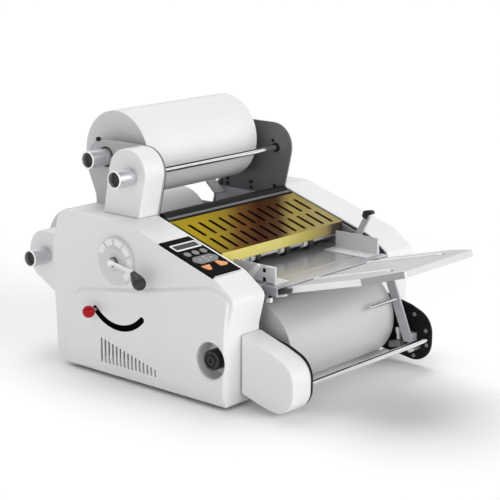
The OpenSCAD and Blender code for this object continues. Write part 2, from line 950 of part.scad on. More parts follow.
module plate_screws() {
    color([0.08, 0.08, 0.08])
        placed()
            both_sides() {
                for (p = concat(upper_screws(), lower_screws)) {
                    bar(plate_x, bracket_x, p, screw_r);
                    bar(plate_x - screw_head_t, plate_x, p, screw_head_r);
                }
            }
}

module heat_guard() {
    front_z = guard_top_z(guard_front_y) - guard_drop;
    rear_z = guard_top_z(guard_pivot[0]) - guard_drop;
    color([0.72, 0.62, 0.2])
        placed()
            difference() {
                union() {
                    slab(-guard_half, guard_half)
                        polygon([[guard_front_y, front_z], [guard_front_y, front_z - guard_lip],
                            [guard_front_y + guard_t, front_z - guard_lip],
                            [guard_front_y + guard_t, front_z - guard_t],
                            [guard_pivot[0], rear_z - guard_t], [guard_pivot[0], rear_z]]);
                    both_sides()
                        slab(guard_half - guard_t, guard_half)
                            polygon([[guard_pivot[0] - 12, rear_z - 4], [guard_pivot[0] - 12, guard_pivot[1] - 3],
                                [guard_pivot[0] + 2, guard_pivot[1] - 3], [guard_pivot[0] + 2, rear_z]]);
                    both_sides()
                        bar(guard_half - guard_t, plate_x - gap, guard_pivot, guard_pin_r);
                }
                for (row = slot_row_y, i = [0 : slot_count - 1])
                    guard_slot((i - (slot_count - 1) / 2) * slot_pitch, row);
            }
}

module guard_slot(x, y) {
    run = slot_len * cos(slope_deg) - slot_w;
    for (end = [-run / 2, run / 2])
        translate([x, y + end, guard_top_z(y) - 20])
            cylinder(h = 40, d = slot_w);
    translate([x - slot_w / 2, y - run / 2, guard_top_z(y) - 20])
        cube([slot_w, run, 40]);
}

// Places a shape drawn level at the extension's pivot on the extension's own slope
module on_extension() {
    translate([0, ext_pivot[0], ext_pivot[1]])
        rotate([-ext_tilt, 0, 0])
            mirror([0, 1, 0])
                children();
}

module extension_outline(inset) {
    h = ext_half - inset;
    f = ext_front_w / 2 - inset / 2;
    polygon([[-h, ext_start], [h, ext_start], [h, ext_side_len], [f, ext_len - inset], [-f, ext_len - inset],
        [-h, ext_side_len]]);
}

module feed_extension() {
    top = table_z - ext_pivot[1];
    color([0.8, 0.8, 0.81])
        placed()
            on_extension()
                difference() {
                    union() {
                        difference() {
                            translate([0, 0, top - ext_rim])
                                linear_extrude(ext_rim)
                                    extension_outline(0);
                            translate([0, 0, top - ext_rim - cut])
                                linear_extrude(ext_rim - ext_t + cut)
                                    extension_outline(ext_t);
                            translate([-ext_half, ext_start - cut, top - ext_rim - cut])
                                cube([ext_w, ext_t + 2 * cut, ext_rim - ext_t + cut]);
                        }
                        both_sides()
                            extension_ear();
                    }
                    both_sides()
                        bar(ext_half - ext_t - cut, ext_half + cut, [0, 0], ext_pin_r + run_fit);
                }
}

module extension_ear() {
    translate([ext_half - ext_t, 0, -lug_r])
        cube([ext_t, ext_start + cut, 2 * lug_r]);
    bar(ext_half - ext_t, ext_half, [0, 0], lug_r);
}

module extension_strips() {
    top = table_z - ext_pivot[1];
    color([0.95, 0.95, 0.95])
        placed()
            on_extension()
                for (x = [-strip_x, strip_x])
                    translate([x - strip_w / 2, strip_from, top])
                        cube([strip_w, strip_to - strip_from, strip_t]);
}

// One paper fence, on the +X side, with its foot towards the middle
module fence() {
    foot_z = table_z + fence_gap;
    pin_x = fence_x - fence_foot / 2;
    translate([fence_x, fence_back_y - fence_len, foot_z])
        cube([fence_t, fence_len, fence_h]);
    translate([fence_x - fence_foot, fence_back_y - fence_len, foot_z])
        cube([fence_foot, fence_len, fence_t]);
    translate([fence_x, fence_back_y - fence_len, foot_z])
        cube([fence_fold, fence_t, fence_h]);
    translate([pin_x, table_slot_y, table_z - table_t - fence_gap - fence_nut_t])
        cylinder(h = table_t + fence_gap + fence_nut_t + fence_gap + cut, r = fence_pin_r);
    translate([pin_x, table_slot_y, table_z - table_t - fence_gap - fence_nut_t])
        cylinder(h = fence_nut_t, r = fence_nut_r);
}

module left_fence() {
    color([0.78, 0.78, 0.79])
        placed()
            mirror([1, 0, 0])
                fence();
}

module right_fence() {
    color([0.78, 0.78, 0.79])
        placed()
            fence();
}

// A mandrel with plain journals; left_x is where its left journal ends
module mandrel(axis, half, left_x) {
    bar(-half, half, axis, mandrel_r);
    bar(-left_x, -half, axis, journal_r);
    bar(half, bracket_x, axis, journal_r);
}

module film(axis, r, shift = 0) {
    difference() {
        bar(shift - film_len / 2, shift + film_len / 2, axis, r);
        bar(shift - film_len / 2 - cut, shift + film_len / 2 + cut, axis, mandrel_r + core_fit);
    }
}

// A tension knob on the left, from its mounting face outwards
module knob(axis, face_x, length, bore_r) {
    mirror([1, 0, 0])
        difference() {
            bar(face_x, face_x + length, axis, knob_r);
            bar(face_x + length - knob_dish, face_x + length + cut, axis, knob_r - knob_rim);
            bar(face_x - cut, face_x + shaft_in_knob + gap, axis, bore_r + run_fit);
        }
}

module upper_mandrel() {
    color([0.7, 0.7, 0.72])
        placed()
            mandrel(upper_axis, plate_x - gap, upper_knob_x + shaft_in_knob);
}

module upper_film() {
    color([0.93, 0.93, 0.93])
        placed()
            film(upper_axis, upper_film_r);
}

module front_rod() {
    color([0.85, 0.85, 0.87])
        placed()
            bar(-(outer_knob_x + shaft_in_knob), bracket_x, front_axis, rod_r);
}

module lower_mandrel() {
    color([0.7, 0.7, 0.72])
        placed()
            mandrel(lower_axis, side_x - gap, lower_knob_x + shaft_in_knob);
}

module lower_film() {
    color([0.93, 0.93, 0.93])
        placed()
            film(lower_axis, lower_film_r, lower_film_shift);
}

module lower_rod() {
    color([0.85, 0.85, 0.87])
        placed()
            bar(-bracket_x, bracket_x, lower_rod_axis, rod_r);
}

module rear_mandrel() {
    color([0.7, 0.7, 0.72])
        placed()
            mandrel(rear_axis, plate_x - gap, outer_knob_x + shaft_in_knob);
}

module rear_film() {
    color([0.75, 0.75, 0.77])
        placed()
            film(rear_axis, rear_film_r);
}

module upper_knob() {
    color([0.75, 0.75, 0.77])
        placed()
            knob(upper_axis, upper_knob_x, knob_len, journal_r);
}

module front_knob() {
    color([0.75, 0.75, 0.77])
        placed()
            knob(front_axis, outer_knob_x, knob_len, rod_r);
}

module rear_knob() {
    color([0.75, 0.75, 0.77])
        placed()
            knob(rear_axis, outer_knob_x, knob_len, journal_r);
}

module lower_knob() {
    color([0.06, 0.06, 0.06])
        placed()
            knob(lower_axis, lower_knob_x, lower_knob_len, journal_r);
}

module roller(axis, r, right_x) {
    bar(-roller_half, roller_half, axis, r);
    bar(-plate_x, -roller_half, axis, roller_journal_r);
    bar(roller_half, right_x, axis, roller_journal_r);
}

module heat_roller() {
    color([0.6, 0.6, 0.62])
        placed()
            roller(heat_axis, heat_r, gear_x + gear_w);
}

module rubber_roller() {
    color([0.6, 0.25, 0.12])
        placed()
            roller(rubber_axis, rubber_r, plate_x);
}

module pull_roller_upper() {
    color([0.2, 0.2, 0.2])
        placed()
            roller(pull_top_axis, pull_r, plate_x);
}

module pull_roller_lower() {
    color([0.2, 0.2, 0.2])
        placed()
            roller(pull_low_axis, pull_r, plate_x);
}

// A spur gear outline with slim straight-sided teeth, one tooth centred on the +Y direction turned by phase
module gear_outline(teeth, phase) {
    pitch_r = gear_m * teeth / 2;
    tip_r = pitch_r + 0.85 * gear_m;
    root_r = pitch_r - 1.15 * gear_m;
    tooth = 360 / teeth;
    polygon([for (i = [0 : teeth - 1])
        for (s = [[-0.32, root_r], [-0.13, tip_r], [0.13, tip_r], [0.32, root_r]])
            s[1] * [cos(phase + tooth * (i + s[0])), sin(phase + tooth * (i + s[0]))]]);
}

module heat_gear() {
    color([0.3, 0.3, 0.32])
        placed()
            difference() {
                slab(gear_x, gear_x + gear_w)
                    translate(heat_axis)
                        gear_outline(gear_teeth, drive_dir);
                bar(gear_x - cut, gear_x + gear_w + cut, heat_axis, roller_journal_r);
            }
}

module motor_pinion() {
    color([0.75, 0.7, 0.5])
        placed() {
            slab(gear_x, gear_x + pinion_w)
                translate(pinion_axis)
                    gear_outline(pinion_teeth, drive_dir + 180 + 180 / pinion_teeth);
            bar(gear_x + pinion_w - cut, motor_x + 18, pinion_axis, pinion_shaft_r);
        }
}

module press_shaft() {
    color([0.85, 0.85, 0.87])
        placed()
            bar(-plate_x, plate_x, press_axis, press_shaft_r);
}

module press_wheels() {
    color([0.1, 0.1, 0.1])
        placed()
            for (x = press_wheel_x)
                difference() {
                    bar(x - press_wheel_w / 2, x + press_wheel_w / 2, press_axis, press_wheel_r);
                    bar(x - press_wheel_w, x + press_wheel_w, press_axis, press_shaft_r);
                }
}

// Point on the crank's centre line at distance d from the hub, on the left side
function crank_at(d) = [-(dial_x + gap + hub_len / 2), dial_axis[0] - d * cos(crank_drop),
    dial_axis[1] - d * sin(crank_drop)];
function grip_dir() = [-sin(grip_lean), -cos(grip_lean) * cos(grip_drop), -cos(grip_lean) * sin(grip_drop)];

// Stands a shape drawn along Z at point a, pointing along dir
module leaning(a, dir) {
    translate(a)
        rotate([0, acos(dir[2]), atan2(dir[1], dir[0])])
            children();
}

module crank_arm() {
    arm_dir = [0, -cos(crank_drop), -sin(crank_drop)];
    color([0.85, 0.85, 0.86])
        placed() {
            mirror([1, 0, 0]) {
                bar(cover_x - cover_wall + gap, dial_x + gap + cut, dial_axis, crank_bore_r);
                bar(dial_x + gap, dial_x + gap + hub_len, dial_axis, hub_r);
            }
            leaning(crank_at(0), arm_dir)
                cylinder(h = crank_len, r = arm_bar_r);
            leaning(crank_at(crank_len) - arm_bar_r * grip_dir(), grip_dir())
                cylinder(h = 2 * arm_bar_r, r = arm_bar_r);
        }
}

module crank_grip() {
    neck_r = 6;
    dome = [for (a = [0 : 15 : 90]) [grip_r * cos(a), grip_len - grip_r + grip_r * sin(a)]];
    color([0.08, 0.08, 0.09])
        placed()
            leaning(crank_at(crank_len), grip_dir())
                rotate_extrude()
                    polygon(concat([[0, arm_bar_r], [neck_r, arm_bar_r]], dome));
}

function curl_at(a) = curl_axis + curl_r * [sin(a), -cos(a)];

module curl_lever() {
    color([0.7, 0.7, 0.72])
        placed()
            mirror([1, 0, 0])
                difference() {
                    union() {
                        bar(curl_bar_x - curl_bar_t, curl_bar_x, curl_axis, curl_boss_r);
                        translate([0, curl_axis[0], curl_axis[1]])
                            rotate([curl_rest, 0, 0])
                                translate([curl_bar_x - curl_bar_t, -curl_pin_r, -curl_r])
                                    cube([curl_bar_t, 2 * curl_pin_r, curl_r]);
                        bar(curl_bar_x - curl_bar_t, ball_x - ball_r + ball_socket, curl_at(curl_rest), curl_pin_r);
                    }
                    bar(curl_bar_x - curl_bar_t - cut, curl_bar_x + cut, curl_axis, curl_stud_r + run_fit);
                }
}

module curl_ball() {
    at = curl_at(curl_rest);
    socket = ball_socket - ball_r;
    from = acos(curl_pin_r / ball_r);
    skin = [for (k = [0 : 15]) ball_r * [cos(-from + (90 + from) * k / 15), sin(-from + (90 + from) * k / 15)]];
    color([0.75, 0.05, 0.08])
        placed()
            translate([-ball_x, at[0], at[1]])
                rotate([0, -90, 0])
                    rotate_extrude()
                        polygon(concat([[0, socket], [curl_pin_r, socket]], skin));
}

module menu_key() {
    key_body()
        translate([key_x[0], key_row])
            circle(key_r);
}

module minus_key() {
    key_body()
        translate([key_x[1], key_row])
            circle(key_r);
}

module plus_key() {
    key_body()
        translate([key_x[2], key_row])
            circle(key_r);
}

module pad_key() {
    key_body()
        pad_outline(0);
}

module run_key() {
    key_body()
        fat_outline(run_shape, run_at, 0);
}

module stop_key() {
    key_body()
        fat_outline(stop_shape, stop_at, 0);
}

module nip_lever() {
    lever_x = side_x - gap - nip_lever_t;
    color([0.65, 0.65, 0.67])
        placed() {
            bar(lever_x, plate_x - gap, nip_axis, nip_pin_r);
            translate([lever_x, nip_axis[0], nip_axis[1]])
                rotate([nip_lean, 0, 0]) {
                    translate([0, -nip_lever_w / 2, 0])
                        cube([nip_lever_t, nip_lever_w, nip_lever_len - nip_cap_r]);
                    rotate([0, 90, 0])
                        cylinder(h = nip_lever_t, d = nip_lever_w);
                    translate([-2, 0, nip_lever_len - nip_cap_r])
                        rotate([0, 90, 0])
                            cylinder(h = nip_lever_t + 2, r = nip_cap_r);
                }
        }
}

base_plate();
feet();
side_plates();
left_cover_cut();  // left_cover
right_cover();
rear_panel();
top_cross_bar();
support_rods();
upper_plates();
upper_bracket_cover();
lower_plates();
lower_bracket_cover();
rear_plates();
rear_bracket_cover();
control_panel();
display_window();
dial_plate();
feed_table();
table_arms();
power_inlet();
motor_body_cut();  // drive_motor
circuit_board();
roller_bearings();
plate_screws();
heat_guard();
feed_extension();
extension_strips();
left_fence();
right_fence();
upper_mandrel();
upper_film();
front_rod();
lower_mandrel();
lower_film();
lower_rod();
rear_mandrel();
rear_film();
upper_knob();
front_knob();
rear_knob();
lower_knob();
heat_roller();
rubber_roller();
pull_roller_upper();
pull_roller_lower();
heat_gear();
motor_pinion();
press_shaft();
press_wheels();
crank_arm();
crank_grip();
curl_lever();
curl_ball();
menu_key();
minus_key();
plus_key();
pad_key();
run_key();
stop_key();
nip_lever();
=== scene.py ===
from math import atan2, cos, pi, radians, sin, tan

import bmesh
import bpy
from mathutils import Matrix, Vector


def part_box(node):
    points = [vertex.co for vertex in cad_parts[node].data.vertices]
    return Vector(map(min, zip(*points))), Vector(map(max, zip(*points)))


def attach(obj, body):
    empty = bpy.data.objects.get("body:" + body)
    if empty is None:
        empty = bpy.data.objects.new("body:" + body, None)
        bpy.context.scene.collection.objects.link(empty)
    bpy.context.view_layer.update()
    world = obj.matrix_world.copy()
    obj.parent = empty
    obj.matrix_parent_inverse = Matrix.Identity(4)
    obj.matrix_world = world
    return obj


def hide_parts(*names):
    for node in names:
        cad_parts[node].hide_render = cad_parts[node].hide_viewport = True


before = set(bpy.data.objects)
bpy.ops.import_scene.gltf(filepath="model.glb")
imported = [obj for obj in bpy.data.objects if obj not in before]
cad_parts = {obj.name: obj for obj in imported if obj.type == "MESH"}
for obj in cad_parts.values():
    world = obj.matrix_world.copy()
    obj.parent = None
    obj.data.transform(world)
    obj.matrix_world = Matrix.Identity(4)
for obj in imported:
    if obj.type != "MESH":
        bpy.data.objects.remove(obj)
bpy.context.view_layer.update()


# --- Studio ---
# The bench is a seamless pale floor under soft, even light, and the camera stands where the
# photograph was taken. Sizes of the machine are in millimetres from its middle plane.
REAR_ROLL_BACK = 0.337
CAMERA_TURN, CAMERA_RISE = radians(-48.8), radians(13.75)
CAMERA_AWAY, CAMERA_AIM_Z, CAMERA_LENS = 3.128, 224, 113.3
roll_low, roll_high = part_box("rear_film")
machine_middle = Vector(((roll_low.x + roll_high.x) / 2,
                         (roll_low.y + roll_high.y) / 2 - REAR_ROLL_BACK, 0))


def place(x, y, z):
    """The scene point of a machine point that is given in mm."""
    return machine_middle + Vector((x, y, z)) / 1000


to_camera = Vector((sin(CAMERA_TURN) * cos(CAMERA_RISE),
                    -cos(CAMERA_TURN) * cos(CAMERA_RISE), sin(CAMERA_RISE)))
bpy.ops.object.select_all(action="DESELECT")
bpy.ops.object.camera_add(location=place(0, 0, CAMERA_AIM_Z) + to_camera * CAMERA_AWAY,
                          rotation=to_camera.to_track_quat("Z", "Y").to_euler())
camera = bpy.context.object
camera.data.lens = CAMERA_LENS
bpy.context.scene.camera = camera
bpy.context.scene.view_settings.view_transform = "Standard"


def softbox(name, strength, spread, towards):
    """A far lamp of the studio that shines from a direction, with a wide soft edge."""
    bpy.ops.object.light_add(type="SUN", rotation=Vector(towards).to_track_quat("Z", "Y").to_euler())
    lamp = bpy.context.object
    lamp.name = name
    lamp.data.energy = strength
    lamp.data.angle = radians(spread)


softbox("front_softbox", 2.75, 60, (0.25, -1.0, 0.12))
softbox("back_softbox", 1.7, 50, (0.25, 0.45, 1.0))
softbox("left_softbox", 0.9, 60, (-1.0, -0.3, 0.15))


def add_node(owner, name, kind, values=(), **settings):
    """A new shader node of a material or world, with its settings and values for its inputs."""
    node = owner.node_tree.nodes.new("ShaderNode" + kind)
    node.name = name
    for key, value in settings.items():
        setattr(node, key, value)
    for key, value in dict(values).items():
        node.inputs[key].default_value = value
    return node


def wire(owner, *links):
    """Links nodes; each link reads "node.output > node.input", with a name or number for a socket."""
    for link in links:
        (source, output), (target, entry) = (end.split(".") for end in link.split(" > "))
        source, target = owner.node_tree.nodes[source], owner.node_tree.nodes[target]
        owner.node_tree.links.new(source.outputs[int(output) if output.isdigit() else output],
                                  target.inputs[int(entry) if entry.isdigit() else entry])


def add_ramp(owner, name, stops):
    """A new colour ramp with stops of (position, linear colour)."""
    marks = add_node(owner, name, "ValToRGB").color_ramp.elements
    for position, _ in stops[1:-1]:
        marks.new(position)
    for mark, (position, colour) in zip(marks, stops):
        mark.position, mark.color = position, [*colour, 1]


# The room lights the machine evenly. The camera sees it white, and so do mirrors, apart from a
# dark ceiling and a dark strip along the walls that bright rods show as lines.
WHITE = (1, 1, 1, 1)
WALL_TONES = [(0.02, 1), (0.06, 0.08), (0.14, 0.08), (0.18, 1), (0.5, 1), (0.6, 0.05)]
room = bpy.data.worlds.new("studio_room")
bpy.context.scene.world = room
room.use_nodes = True
room.node_tree.nodes.clear()
add_node(room, "light", "Background", {"Color": WHITE, "Strength": 0.35})
for name, kind in (("seen", "Background"), ("ray", "LightPath"), ("way", "TexCoord"),
                   ("height", "SeparateXYZ"), ("mix", "MixShader"), ("out", "OutputWorld")):
    add_node(room, name, kind)
for name in ("or_mirrored", "or_glass"):
    add_node(room, name, "Math", operation="MAXIMUM")
add_ramp(room, "walls", [(z, (grey, grey, grey)) for z, grey in WALL_TONES])
add_node(room, "view", "Mix", {7: WHITE}, data_type="RGBA")
wire(room, "way.Generated > height.0", "height.Z > walls.Fac", "ray.Is Camera Ray > view.0",
     "walls.Color > view.6", "view.2 > seen.Color", "ray.Is Camera Ray > or_mirrored.0",
     "ray.Is Glossy Ray > or_mirrored.1", "or_mirrored.0 > or_glass.0",
     "ray.Is Transmission Ray > or_glass.1", "or_glass.0 > mix.0", "light.0 > mix.1", "seen.0 > mix.2",
     "mix.0 > out.Surface")

bpy.ops.mesh.primitive_plane_add(size=80)
floor = bpy.context.object
floor.name = "studio_floor"
floor_paper = bpy.data.materials.new("studio_paper")
floor_paper.use_nodes = True
for key, value in (("Base Color", (0.97, 0.97, 0.97, 1)), ("Roughness", 1.0), ("Specular IOR Level", 0.0)):
    floor_paper.node_tree.nodes["Principled BSDF"].inputs[key].default_value = value
floor.data.materials.append(floor_paper)


# --- Base plate, feet and inner side plates ---
# Folded and punched steel sheet, zinc plated, bolted up into a box between the covers. The
# machine stands on four turned rubber feet under the base plate.
NOISE_LOW, NOISE_HIGH = 0.3, 0.7


def ink(red, green, blue):
    """A colour on the usual scale of 0 to 255, made linear for a shader."""
    parts = [c / 255 for c in (red, green, blue)]
    return [c / 12.92 if c <= 0.04045 else ((c + 0.055) / 1.055) ** 2.4 for c in parts]


def surface(name, colour, rough, metallic=0.0, stretch=(1, 1, 1), grain=500.0, tone=0.03, wander=0.05,
            relief=0.03, shine=0.5):
    """A finish with fine grain, cloudy changes of tone and gloss, and a shallow relief in mm."""
    skin = bpy.data.materials.new(name)
    skin.use_nodes = True
    shader = skin.node_tree.nodes["Principled BSDF"]
    shader.name = "shader"
    shader.inputs["Metallic"].default_value = metallic
    shader.inputs["Specular IOR Level"].default_value = shine
    base = ink(*colour)
    add_node(skin, "where", "TexCoord")
    add_node(skin, "lay", "Mapping", {"Scale": stretch})
    add_node(skin, "grain", "TexNoise", {"Scale": grain, "Detail": 3.0})
    add_node(skin, "cloud", "TexNoise", {"Scale": 9.0, "Detail": 2.0})
    add_node(skin, "mottle", "Mix", {0: 0.5})
    add_ramp(skin, "shades", [(NOISE_LOW, [c * (1 - tone) for c in base]),
                              (NOISE_HIGH, [min(c * (1 + tone), 1) for c in base])])
    add_node(skin, "gloss", "MapRange", {"From Min": NOISE_LOW, "From Max": NOISE_HIGH,
                                         "To Min": rough - wander, "To Max": rough + wander})
    add_node(skin, "relief", "Bump", {"Strength": 0.6, "Distance": relief / 1000})
    wire(skin, "where.Object > lay.Vector", "lay.Vector > grain.Vector", "where.Object > cloud.Vector",
         "grain.Fac > mottle.2", "cloud.Fac > mottle.3", "mottle.0 > shades.Fac",
         "shades.Color > shader.Base Color", "mottle.0 > gloss.Value", "gloss.Result > shader.Roughness",
         "grain.Fac > relief.Height", "relief.Normal > shader.Normal")
    return skin


def pick(piece):
    """Makes a piece the active one and the only one selected."""
    bpy.ops.object.select_all(action="DESELECT")
    piece.select_set(True)
    bpy.context.view_layer.objects.active = piece


def break_edges(piece, edge, angle):
    """Adds a bevel of a width in mm to all edges that are sharper than an angle."""
    worn = piece.modifiers.new("broken edges", "BEVEL")
    worn.width, worn.segments = edge / 1000, 2
    worn.limit_method, worn.angle_limit = "ANGLE", radians(angle)
    return worn


def dress(node, skin, edge=0.4):
    """Gives a CAD piece its finish, and rounds its edges by a fraction of a millimetre."""
    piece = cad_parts[node]
    for slot in piece.material_slots:
        slot.material = skin
    pick(piece)
    bpy.ops.object.shade_smooth()
    piece.modifiers.new("one skin", "WELD").merge_threshold = 0.00001
    break_edges(piece, edge, 35)
    piece.modifiers.new("flat faces", "WEIGHTED_NORMAL").weight = 100


zinc_sheet = surface("zinc_sheet", (176, 177, 180), 0.42, 0.7, grain=160, tone=0.06, relief=0.01)
for plate in ("base_plate", "side_plates"):
    dress(plate, zinc_sheet)
dress("feet", surface("foot_rubber", (30, 30, 31), 0.85, grain=900, tone=0.15, relief=0.05), 1.2)


# --- Side covers ---
# Two moulded shells, painted white, that close the machine's sides. Each has a raised lower panel
# with vents; the left one also has the round recess of the lower knob and the curved lever slot.
COVER_INNER_X, COVER_OUTER_X, COVER_RIM, COVER_WALL = 189, 275, 5, 3
COVER_OUTLINE = [(-184, 6, 7), (271, 6, 34), (278, 240, 60), (258, 317, 32), (73, 317, 60),
                 (-155, 246, 60), (-203, 212, 17), (-187, 150, 70)]
PANEL_FOOT = [(-183, 8, 9), (-96, 8.4, 900), (-12, 8.2, 900), (125, 8.3, 900), (165, 8.1, 600),
              (236, 8.6, 22), (231, 95, 60), (212, 168, 34), (40, 195, 200), (-150, 233, 30),
              (-194, 211, 12), (-186, 150, 60)]
PANEL_CROWN = [(-178, 25, 8), (-96, 29, 60), (-12, 42, 60), (122, 44, 40), (162, 15, 24),
               (231, 14, 18), (226, 95, 60), (206, 159, 30), (40, 185, 200), (-150, 223, 28),
               (-188, 207, 10), (-181, 150, 60)]
PANEL_START_X, PANEL_X = 274, 280
VENT_COUNT, VENT_PITCH, VENT_HALF, VENT_STEP = 15, 10.3, 2.5, 2.5
VENT_Y, VENT_LOW, VENT_TOP = 137, 30, 80
BOWL_AXIS, BOWL_R, BOWL_FLOOR_X = (-147, 91), 34.5, 240
DIAL_AXIS = (93, 238)
SLOT_AXIS, SLOT_R, SLOT_HALF, SLOT_SPAN, SHADE_STRIP_HALF = (89, 196), 87.8, 6.2, 46, 24
SLOPE_HEAD, SLOPE_FOOT = (73, 317), (-155, 246)
SLOPE = atan2(SLOPE_HEAD[1] - SLOPE_FOOT[1], SLOPE_HEAD[0] - SLOPE_FOOT[0])
SEAT_X, SEAT_Y, SEAT_Z = -195, -17, 288.97


def rounded(outline, inset=0.0, steps=10):
    """Points along an outline of (a, b, radius) corners, each an arc, drawn in by inset."""
    points = []
    for i, (a, b, radius) in enumerate(outline):
        here = Vector((a, b))
        before = (here - Vector(outline[i - 1][:2])).normalized()
        after = (Vector(outline[(i + 1) % len(outline)][:2]) - here).normalized()
        n1, n2 = Vector((-before.y, before.x)), Vector((-after.y, after.x))
        turn = atan2(n1.x * n2.y - n1.y * n2.x, n1.dot(n2))
        side = -1 if turn < 0 else 1
        r = max(radius - side * inset, 0.4)
        centre = here + (n1 + n2) / (1 + n1.dot(n2)) * (inset + side * r)
        for k in range(steps + 1):
            c, s = cos(turn * k / steps), sin(turn * k / steps)
            points.append(centre - side * r * Vector((n1.x * c - n1.y * s, n1.x * s + n1.y * c)))
    return points


def across(points, x):
    """A ring of (y, z) points in the upright plane at x."""
    return [place(x, p[0], p[1]) for p in points]


def arc(centre, r, first, last, steps):
    """Points about a centre, from one angle to another in degrees."""
    turn = [radians(first + (last - first) * k / steps) for k in range(steps + 1)]
    return [(centre[0] + r * cos(a), centre[1] + r * sin(a)) for a in turn]


def new_ring(name, count, fill):
    """A new object that is one ring of points."""
    bpy.ops.object.select_all(action="DESELECT")
    bpy.ops.mesh.primitive_circle_add(vertices=count, fill_type=fill)
    piece = bpy.context.object
    piece.name = piece.data.name = name
    return piece


def face_out():
    """Turns all faces of the open mesh outwards, and closes it."""
    bpy.ops.mesh.select_all(action="SELECT")
    bpy.ops.mesh.normals_make_consistent(inside=False)
    bpy.ops.object.mode_set(mode="OBJECT")


def drawn(name, rings):
    """A closed body: a filled ring that is extruded from each ring of points to the next."""
    piece = new_ring(name, len(rings[0]), "NGON")
    bpy.ops.object.mode_set(mode="EDIT")
    skin = bmesh.from_edit_mesh(piece.data)
    seat = skin.verts.layers.int.new("seat")
    for i, vert in enumerate(skin.verts):
        vert[seat] = i
        vert.co = rings[0][i]
    for ring in rings[1:]:
        bpy.ops.mesh.extrude_region_move()
        skin = bmesh.from_edit_mesh(piece.data)
        seat = skin.verts.layers.int["seat"]
        for vert in skin.verts:
            if vert.select:
                vert.co = ring[vert[seat]]
    skin.verts.layers.int.remove(seat)
    bmesh.update_edit_mesh(piece.data)
    face_out()
    return piece


def slab(name, outline, *places):
    """A body with an upright outline of (y, z) points, between places across the machine."""
    return drawn(name, [across(outline, x) for x in places])


def turned(name, profile, start, along, steps=72):
    """A body spun from a closed profile of (distance along the axis, radius) in mm."""
    along = Vector(along).normalized()
    out = along.orthogonal().normalized()
    piece = new_ring(name, len(profile), "NOTHING")
    for vert, (d, r) in zip(piece.data.vertices, profile):
        vert.co = start + (along * d + out * r) / 1000
    bpy.ops.object.mode_set(mode="EDIT")
    bpy.ops.mesh.select_all(action="SELECT")
    bpy.ops.mesh.spin(steps=steps, angle=2 * pi, center=start, axis=along)
    bpy.ops.mesh.select_all(action="SELECT")
    bpy.ops.mesh.remove_doubles(threshold=0.000005)
    bpy.ops.mesh.dissolve_degenerate(threshold=0.000001)
    face_out()
    return piece


def spun(name, profile, x, axis, steps=72, side=-1):
    """A turned body on a line across the machine, from x to the left (-1) or right (1)."""
    return turned(name, profile, place(x, *axis), (side, 0, 0), steps)


def bar(first, last, r):
    """The profile of a plain round bar."""
    return [(first, 0), (first, r), (last, r), (last, 0)]


def joined(pieces):
    """Several bodies made one object."""
    pick(pieces[0])
    for piece in pieces[1:]:
        piece.select_set(True)
    if len(pieces) > 1:
        bpy.ops.object.join()
    return pieces[0]


def carve(piece, *tools, how="DIFFERENCE"):
    """Cuts the tools out of a piece, or adds them to it, and clears them away."""
    tool = joined(tools)
    pick(piece)
    cut = piece.modifiers.new("cut", "BOOLEAN")
    cut.operation, cut.solver, cut.object = how, "EXACT", tool
    bpy.ops.object.modifier_apply(modifier=cut.name)
    bpy.data.objects.remove(tool)
    return piece


def fit(piece, skin, body, slot, *stands_for, angle=35, edge=0.0):
    """Breaks the edges of a new piece, shades it, paints it and sets it on its body."""
    pick(piece)
    if edge:
        bpy.ops.object.modifier_apply(modifier=break_edges(piece, edge, 40).name)
    bpy.ops.object.shade_smooth_by_angle(angle=radians(angle))
    even = piece.modifiers.new("flat faces", "WEIGHTED_NORMAL")
    even.weight, even.keep_sharp = 100, True
    bpy.ops.object.modifier_apply(modifier=even.name)
    piece.data.materials.clear()
    piece.data.materials.append(skin)
    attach(piece, body)
    if stands_for:
        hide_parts(*stands_for)
    return piece


def stadium(y, z0, z1, r):
    """Points of an upright slot with round ends."""
    return arc((y, z1 - r), r, 0, 180, 8) + arc((y, z0 + r), r, 180, 360, 8)


def moulded(name, outline, x, r, side):
    """A body from the inner edge of the covers out to x, with a rounded rim."""
    sections = [(COVER_INNER_X, 0), *arc((x - r, r), r, -90, 0, 6)]
    return drawn(name, [across(rounded(outline, inset), side * at) for at, inset in sections])


def cover_shell(name, side):
    """One hollow cover with its raised panel and vents, on the left (-1) or right (1)."""
    shell = moulded(name, COVER_OUTLINE, COVER_OUTER_X, COVER_RIM, side)
    low, top = rounded(PANEL_FOOT), rounded(PANEL_CROWN)
    rings = [across(low, side * 250), across(low, side * PANEL_START_X)]
    for k in range(1, 9):
        x = PANEL_START_X + (PANEL_X - PANEL_START_X) * sin(pi / 2 * k / 8) ** 1.5
        rings.append(across([a.lerp(b, k / 8) for a, b in zip(low, top)], side * x))
    carve(shell, drawn("panel", rings), how="UNION")
    for hollow, outline, x0, x1 in (
            ("cavity", rounded(COVER_OUTLINE, COVER_WALL), 180, 272),
            ("mouth", [(-180.5, 4), (234, 4), (234, 13), (-180.5, 13)], 180, 271.7),
            ("behind", rounded(PANEL_CROWN, COVER_WALL + 0.5), 262, PANEL_X - COVER_WALL)):
        carve(shell, slab(hollow, outline, side * x0, side * x1))
    vents = [stadium(VENT_Y - VENT_PITCH * i, VENT_LOW, VENT_TOP - VENT_STEP * i, VENT_HALF)
             for i in range(VENT_COUNT)]
    return carve(shell, *[slab("vent", vent, side * 268, side * 284) for vent in vents])


def on_panel(u, v, h):
    """A point of the control panel from its seat: u outwards, v down the slope, h out of it, in mm."""
    c, s = cos(SLOPE), sin(SLOPE)
    return place(SEAT_X - u, SEAT_Y - v * c - h * s, SEAT_Z - v * s + h * c)


